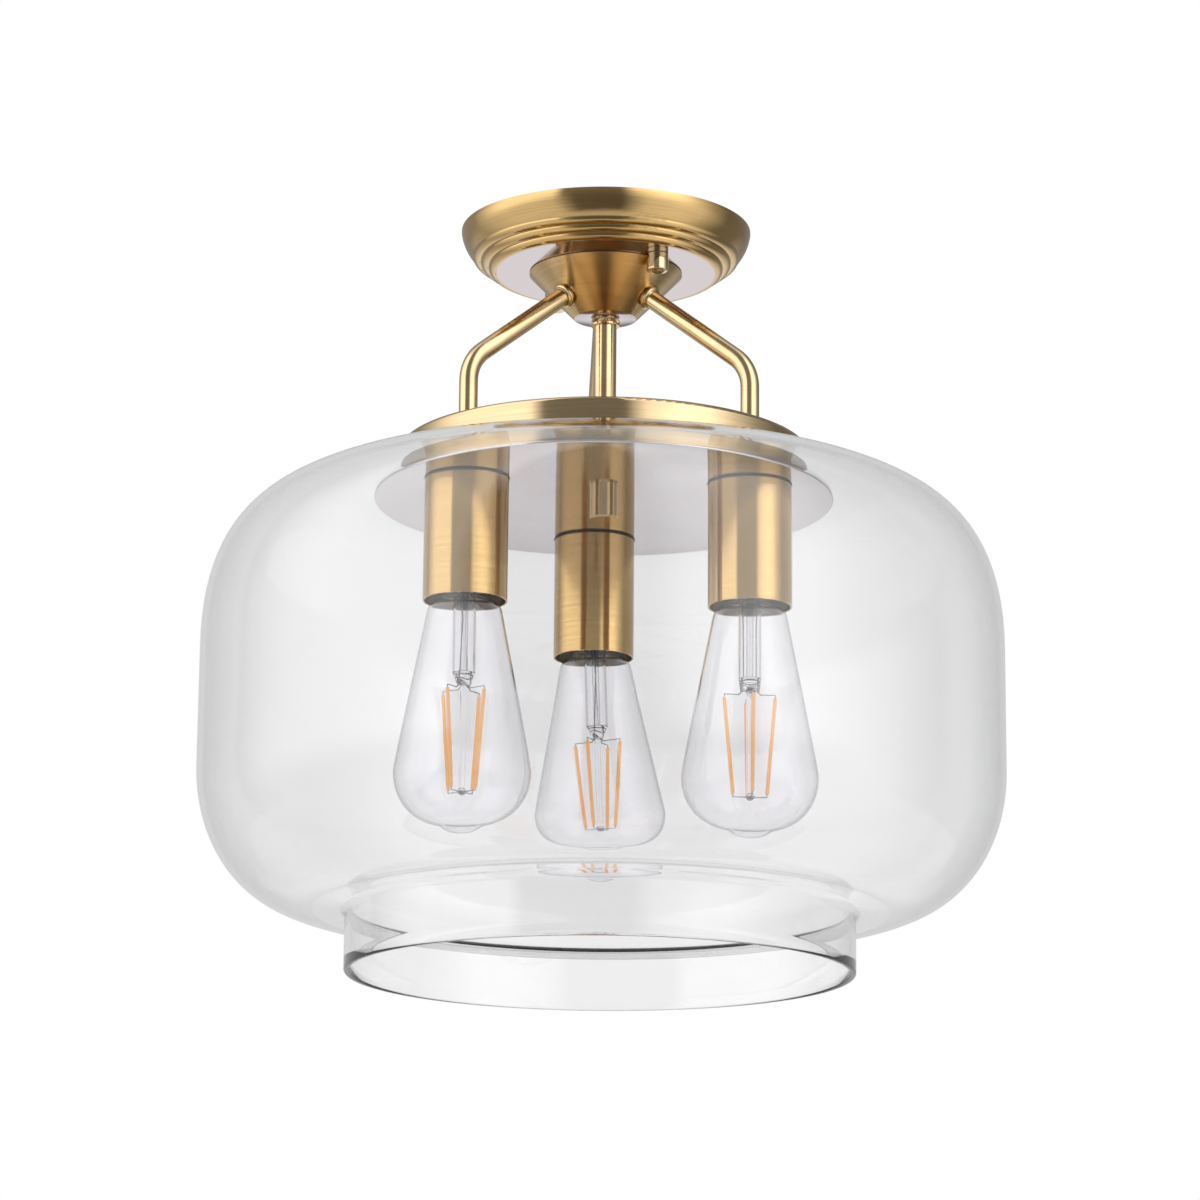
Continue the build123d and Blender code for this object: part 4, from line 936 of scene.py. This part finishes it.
cx, cy = lamp_centres[1]
cap_thread_foot = CAP_THREAD_TOP_Z - CAP_PITCH * CAP_TURNS
ridge = []
for n in range(CAP_RIDGE_STEPS + 1):
    down = n / CAP_RIDGE_STEPS
    radius = CAP_R - CAP_THREAD_DEPTH * (0.5 - 0.5 * math.cos(math.tau * down))
    ridge.append((cx + radius, cy, cap_thread_foot + CAP_PITCH * (1 - down)))
thread = drawn_line("thread", ridge)
bpy.ops.object.mode_set(mode="OBJECT")
bpy.context.scene.cursor.location = (cx, cy, 0)
bpy.ops.object.origin_set(type="ORIGIN_CURSOR")
helix = thread.modifiers.new("helix", "SCREW")
helix.axis = "Z"
helix.angle = math.tau
helix.screw_offset = CAP_PITCH
helix.iterations = CAP_TURNS
helix.steps = helix.render_steps = THREAD_SIDES
helix.use_merge_vertices = True
helix.merge_threshold = WELD
bpy.ops.object.modifier_apply(modifier="helix")
bpy.ops.object.transform_apply(location=True, rotation=True, scale=True)
sleeve = turned(
    "sleeve",
    [
        (CAP_END_R, CAP_TOP_Z),
        (CAP_R - CAP_SHOULDER, CAP_TOP_Z),
        (CAP_R - CAP_THREAD_DEPTH, CAP_TOP_Z - CAP_SHOULDER),
        (CAP_R - CAP_THREAD_DEPTH - CAP_CLEAR, cap_thread_foot + CAP_PITCH / 2),
        (CAP_R - CAP_LIP, cap_thread_foot - 2 * CAP_LIP),
        (CAP_R - CAP_LIP, CAP_FOOT_Z + CAP_LIP_HEIGHT),
        (CAP_R, CAP_FOOT_Z),
    ],
    (cx, cy),
    SLEEVE_SIDES,
)
give_wall(sleeve, CAP_WALL)
pick(sleeve)
thread.select_set(True)
bpy.ops.object.join()
for k in (1, 2, 3):
    finish_piece(lamp_copy(sleeve, k, "lamp_cap"), nickel, f"bulb_{k}", "nickel", f"bulb_cap_{k}")
bpy.data.objects.remove(sleeve)


# ------------------------------------------------------------------ lamps: mount and filaments
# A glass flare and tube hold the lead wires in a flattened press. A glass rod below it
# carries four leaning phosphor-coated filaments between wire arms at its top and bottom.
STEM_R = 0.00535
STEM_WALL = 0.0008
STEM_FLARE = (0.011, -0.1772)           # radius and height of its wide end
STEM_FLARE_PULL = (0.002, 0.006)
STEM_NARROW_Z = (-0.188, -0.194)
STEM_FOOT_Z = -0.2305
STEM_TINT = (0.975, 0.975, 0.98)
# painted shade: the grey the stem glass is coloured where it is seen edge on
STEM_EDGE = (0.22, 0.20, 0.20)
STEM_EDGE_FROM = 0.72
STEM_IOR = 1.38
STEM_SIDES = 48
EXHAUST_SIDES = 24
PRESS_FOOT_Z = -0.2366
PRESS_HALF = (0.0047, 0.0017)
PRESS_ROUND = 0.0006
PRESS_CLEAR = 0.0001
PRESS_SIDES = 32
EXHAUST_R = 0.0017
EXHAUST_ENDS = (-0.1792, -0.2295)
ROD_R = 0.0016
ROD_IN_PRESS = 0.0005
ROD_PAST_BEAD = 0.001
FILAMENT_R = 0.0009
FILAMENT_TOP = (0.0121, -0.2395)
FILAMENT_FOOT = (0.008, -0.2855)
FILAMENT_PIN = 0.0016
FILAMENT_TURNS = {1: 62, 2: 51, 3: 3}   # where each lamp's thread came to a stop, in degrees
FILAMENT_ROUGH = (0.5, 0.7)
# painted glow: the unlit filaments' coat is given a faint light of its own
FILAMENT_PAINTED_GLOW = 0.3         # the coat's own pale shine
FILAMENT_GRAIN = 900.0
FILAMENT_DEPTH = 0.00004
WIRE_R = 0.00028
WIRE_LAP = 0.0004           # how far a wire is welded along a filament's end
WIRE_SAG = 0.0002
WIRE_REACH = 0.0015         # from the wire's bend to the press
WIRE_ROOTS = (0.0038, 0.0016)           # every second wire leaves the press nearer its middle
RING_CLEAR = 0.0006
STEM_RING = (0.003852, -0.2317)
LEAD_R = 0.0003
LEAD_PATH = ((0, 0.0042, -0.1812), (25, 0.0036, -0.205), (0, 0.0030, -0.2305), (0, 0.0038, -0.2370))
BEAD_R = 0.0019
BEAD_SIDES = 20
RING_SIDES = 32
LAMP_WIRE_LOW = (0.25, 0.24, 0.23)
LAMP_WIRE_HIGH = (0.42, 0.41, 0.40)
LAMP_WIRE_ROUGH = (0.25, 0.40)
PHOSPHOR_LOW = (0.92, 0.44, 0.13)
PHOSPHOR_HIGH = (1.0, 0.52, 0.19)


def drawn_wire(name, points, radius):
    """A round wire or rod that follows points: a line of edges, thickened as a curve."""
    drawn_line(name, points)
    bpy.ops.object.mode_set(mode="OBJECT")
    bpy.ops.object.convert(target="CURVE")
    wire = bpy.context.object
    wire.data.bevel_depth = radius
    wire.data.bevel_resolution = 3
    wire.data.use_fill_caps = True
    bpy.ops.object.convert(target="MESH")
    bpy.ops.object.transform_apply(location=True, rotation=True, scale=True)
    return bpy.context.object


def joined(name, pieces):
    """Several forms as one piece."""
    pick(pieces[0])
    for piece in pieces:
        piece.select_set(True)
    bpy.ops.object.join()
    pieces[0].name = pieces[0].data.name = name
    return pieces[0]


stem_glass = clear_glass("stem_glass", STEM_TINT, STEM_EDGE, STEM_EDGE_FROM, STEM_IOR)
lamp_wire = mottled("lamp_wire", LAMP_WIRE_LOW, LAMP_WIRE_HIGH, LAMP_WIRE_ROUGH)[0]
phosphor, tree, shader, _ = mottled(
    "phosphor", PHOSPHOR_LOW, PHOSPHOR_HIGH, FILAMENT_ROUGH, 0.0, FILAMENT_GRAIN, FILAMENT_DEPTH
)
# painted glow: emission on the unlit phosphor coat
shader.inputs["Emission Color"].default_value = (*PHOSPHOR_HIGH, 1)
shader.inputs["Emission Strength"].default_value = FILAMENT_PAINTED_GLOW


def spot(angle, radius, z):
    """A point round the back lamp's axis."""
    turn = math.radians(angle)
    return (cx + radius * math.cos(turn), cy + radius * math.sin(turn), z)


flare = [STEM_FLARE]
flare += curve(
    STEM_FLARE,
    (STEM_FLARE[0] - STEM_FLARE_PULL[0], STEM_FLARE[1] - STEM_FLARE_PULL[1]),
    (STEM_R, STEM_NARROW_Z[0]),
    (STEM_R, STEM_NARROW_Z[1]),
    8,
)
flare += [(STEM_R, STEM_FOOT_Z)]
tube = turned("stem_tube", flare, (cx, cy), STEM_SIDES)
give_wall(tube, STEM_WALL)
exhaust = turned("exhaust", [(EXHAUST_R, z) for z in EXHAUST_ENDS], (cx, cy), EXHAUST_SIDES)
give_wall(exhaust, STEM_WALL / 2)

bpy.ops.mesh.primitive_cylinder_add(
    vertices=PRESS_SIDES,
    radius=STEM_R - PRESS_CLEAR,
    depth=STEM_FOOT_Z - PRESS_FOOT_Z,
    location=(cx, cy, (STEM_FOOT_Z + PRESS_FOOT_Z) / 2),
)
press = bpy.context.object
bpy.ops.object.transform_apply(location=True, rotation=True, scale=True)
bpy.ops.object.mode_set(mode="EDIT")
bpy.ops.mesh.select_mode(type="VERT")
bpy.ops.mesh.select_all(action="DESELECT")
bpy.ops.object.mode_set(mode="OBJECT")
for vertex in press.data.vertices:
    vertex.select = vertex.co.z < PRESS_FOOT_Z + PRESS_CLEAR
bpy.ops.object.mode_set(mode="EDIT")
press_flat = (PRESS_HALF[0] / STEM_R, PRESS_HALF[1] / STEM_R, 1)
bpy.ops.transform.resize(value=press_flat, center_override=(cx, cy, PRESS_FOOT_Z))
bpy.ops.object.mode_set(mode="OBJECT")
soft = press.modifiers.new("soft", "BEVEL")
soft.width = PRESS_ROUND
soft.segments = 3
soft.limit_method = "ANGLE"
bpy.ops.object.modifier_apply(modifier="soft")

bead_z = FILAMENT_FOOT[1] - FILAMENT_PIN
rod_ends = [(cx, cy, PRESS_FOOT_Z + ROD_IN_PRESS), (cx, cy, bead_z - ROD_PAST_BEAD)]
rod = drawn_wire("rod", rod_ends, ROD_R)
bead_line = [(0, bead_z + BEAD_R)] + arc((0, bead_z), BEAD_R, 90, -90, 8)
bead = turned("bead", bead_line, (cx, cy), BEAD_SIDES)
mount = joined("mount", [tube, exhaust, press, rod, bead])

wires, coats = [], []
for side in (0, 180):
    path = [spot(side + turn, radius, z) for turn, radius, z in LEAD_PATH]
    wires.append(drawn_wire("lead", path, LEAD_R))
for n in range(4):
    angle = 90 * n
    top, foot = spot(angle, *FILAMENT_TOP), spot(angle, *FILAMENT_FOOT)
    coats.append(drawn_wire("coat", [top, foot], FILAMENT_R))
    high_z, low_z = FILAMENT_TOP[1] + FILAMENT_PIN, FILAMENT_FOOT[1] - FILAMENT_PIN
    inner = WIRE_ROOTS[n % 2]
    upper = [
        spot(angle, FILAMENT_TOP[0], FILAMENT_TOP[1] - WIRE_LAP),
        spot(angle, FILAMENT_TOP[0], high_z),
        spot(angle, inner + WIRE_REACH, high_z - WIRE_SAG),
        spot(angle, inner, PRESS_FOOT_Z),
    ]
    lower = [
        spot(angle, FILAMENT_FOOT[0], FILAMENT_FOOT[1] + WIRE_LAP),
        spot(angle, FILAMENT_FOOT[0], low_z),
        spot(angle, ROD_R, low_z - WIRE_SAG / 2),
    ]
    wires += [drawn_wire("arm", upper, WIRE_R), drawn_wire("arm", lower, WIRE_R)]
for radius, z in ((ROD_R + RING_CLEAR, bead_z), STEM_RING):
    ring_line = [(radius + WIRE_R, z)] + arc((radius, z), WIRE_R, 0, 360, 8)
    wires.append(turned("wire_ring", ring_line, (cx, cy), RING_SIDES))
wires = joined("wires", wires)
coats = joined("coats", coats)
for k, turn in FILAMENT_TURNS.items():
    copy = lamp_copy(mount, k, "lamp_mount", turn)
    finish_piece(copy, stem_glass, f"bulb_{k}", "lamp_glass", f"bulb_stem_{k}")
    copy.visible_shadow = copy.visible_diffuse = False
    finish_piece(lamp_copy(wires, k, "lamp_wires", turn), lamp_wire, f"bulb_{k}", "nickel")
    copy = lamp_copy(coats, k, "lamp_filaments", turn)
    finish_piece(copy, phosphor, f"bulb_{k}", "filament", f"bulb_filaments_{k}")
for original in (mount, wires, coats):
    bpy.data.objects.remove(original)
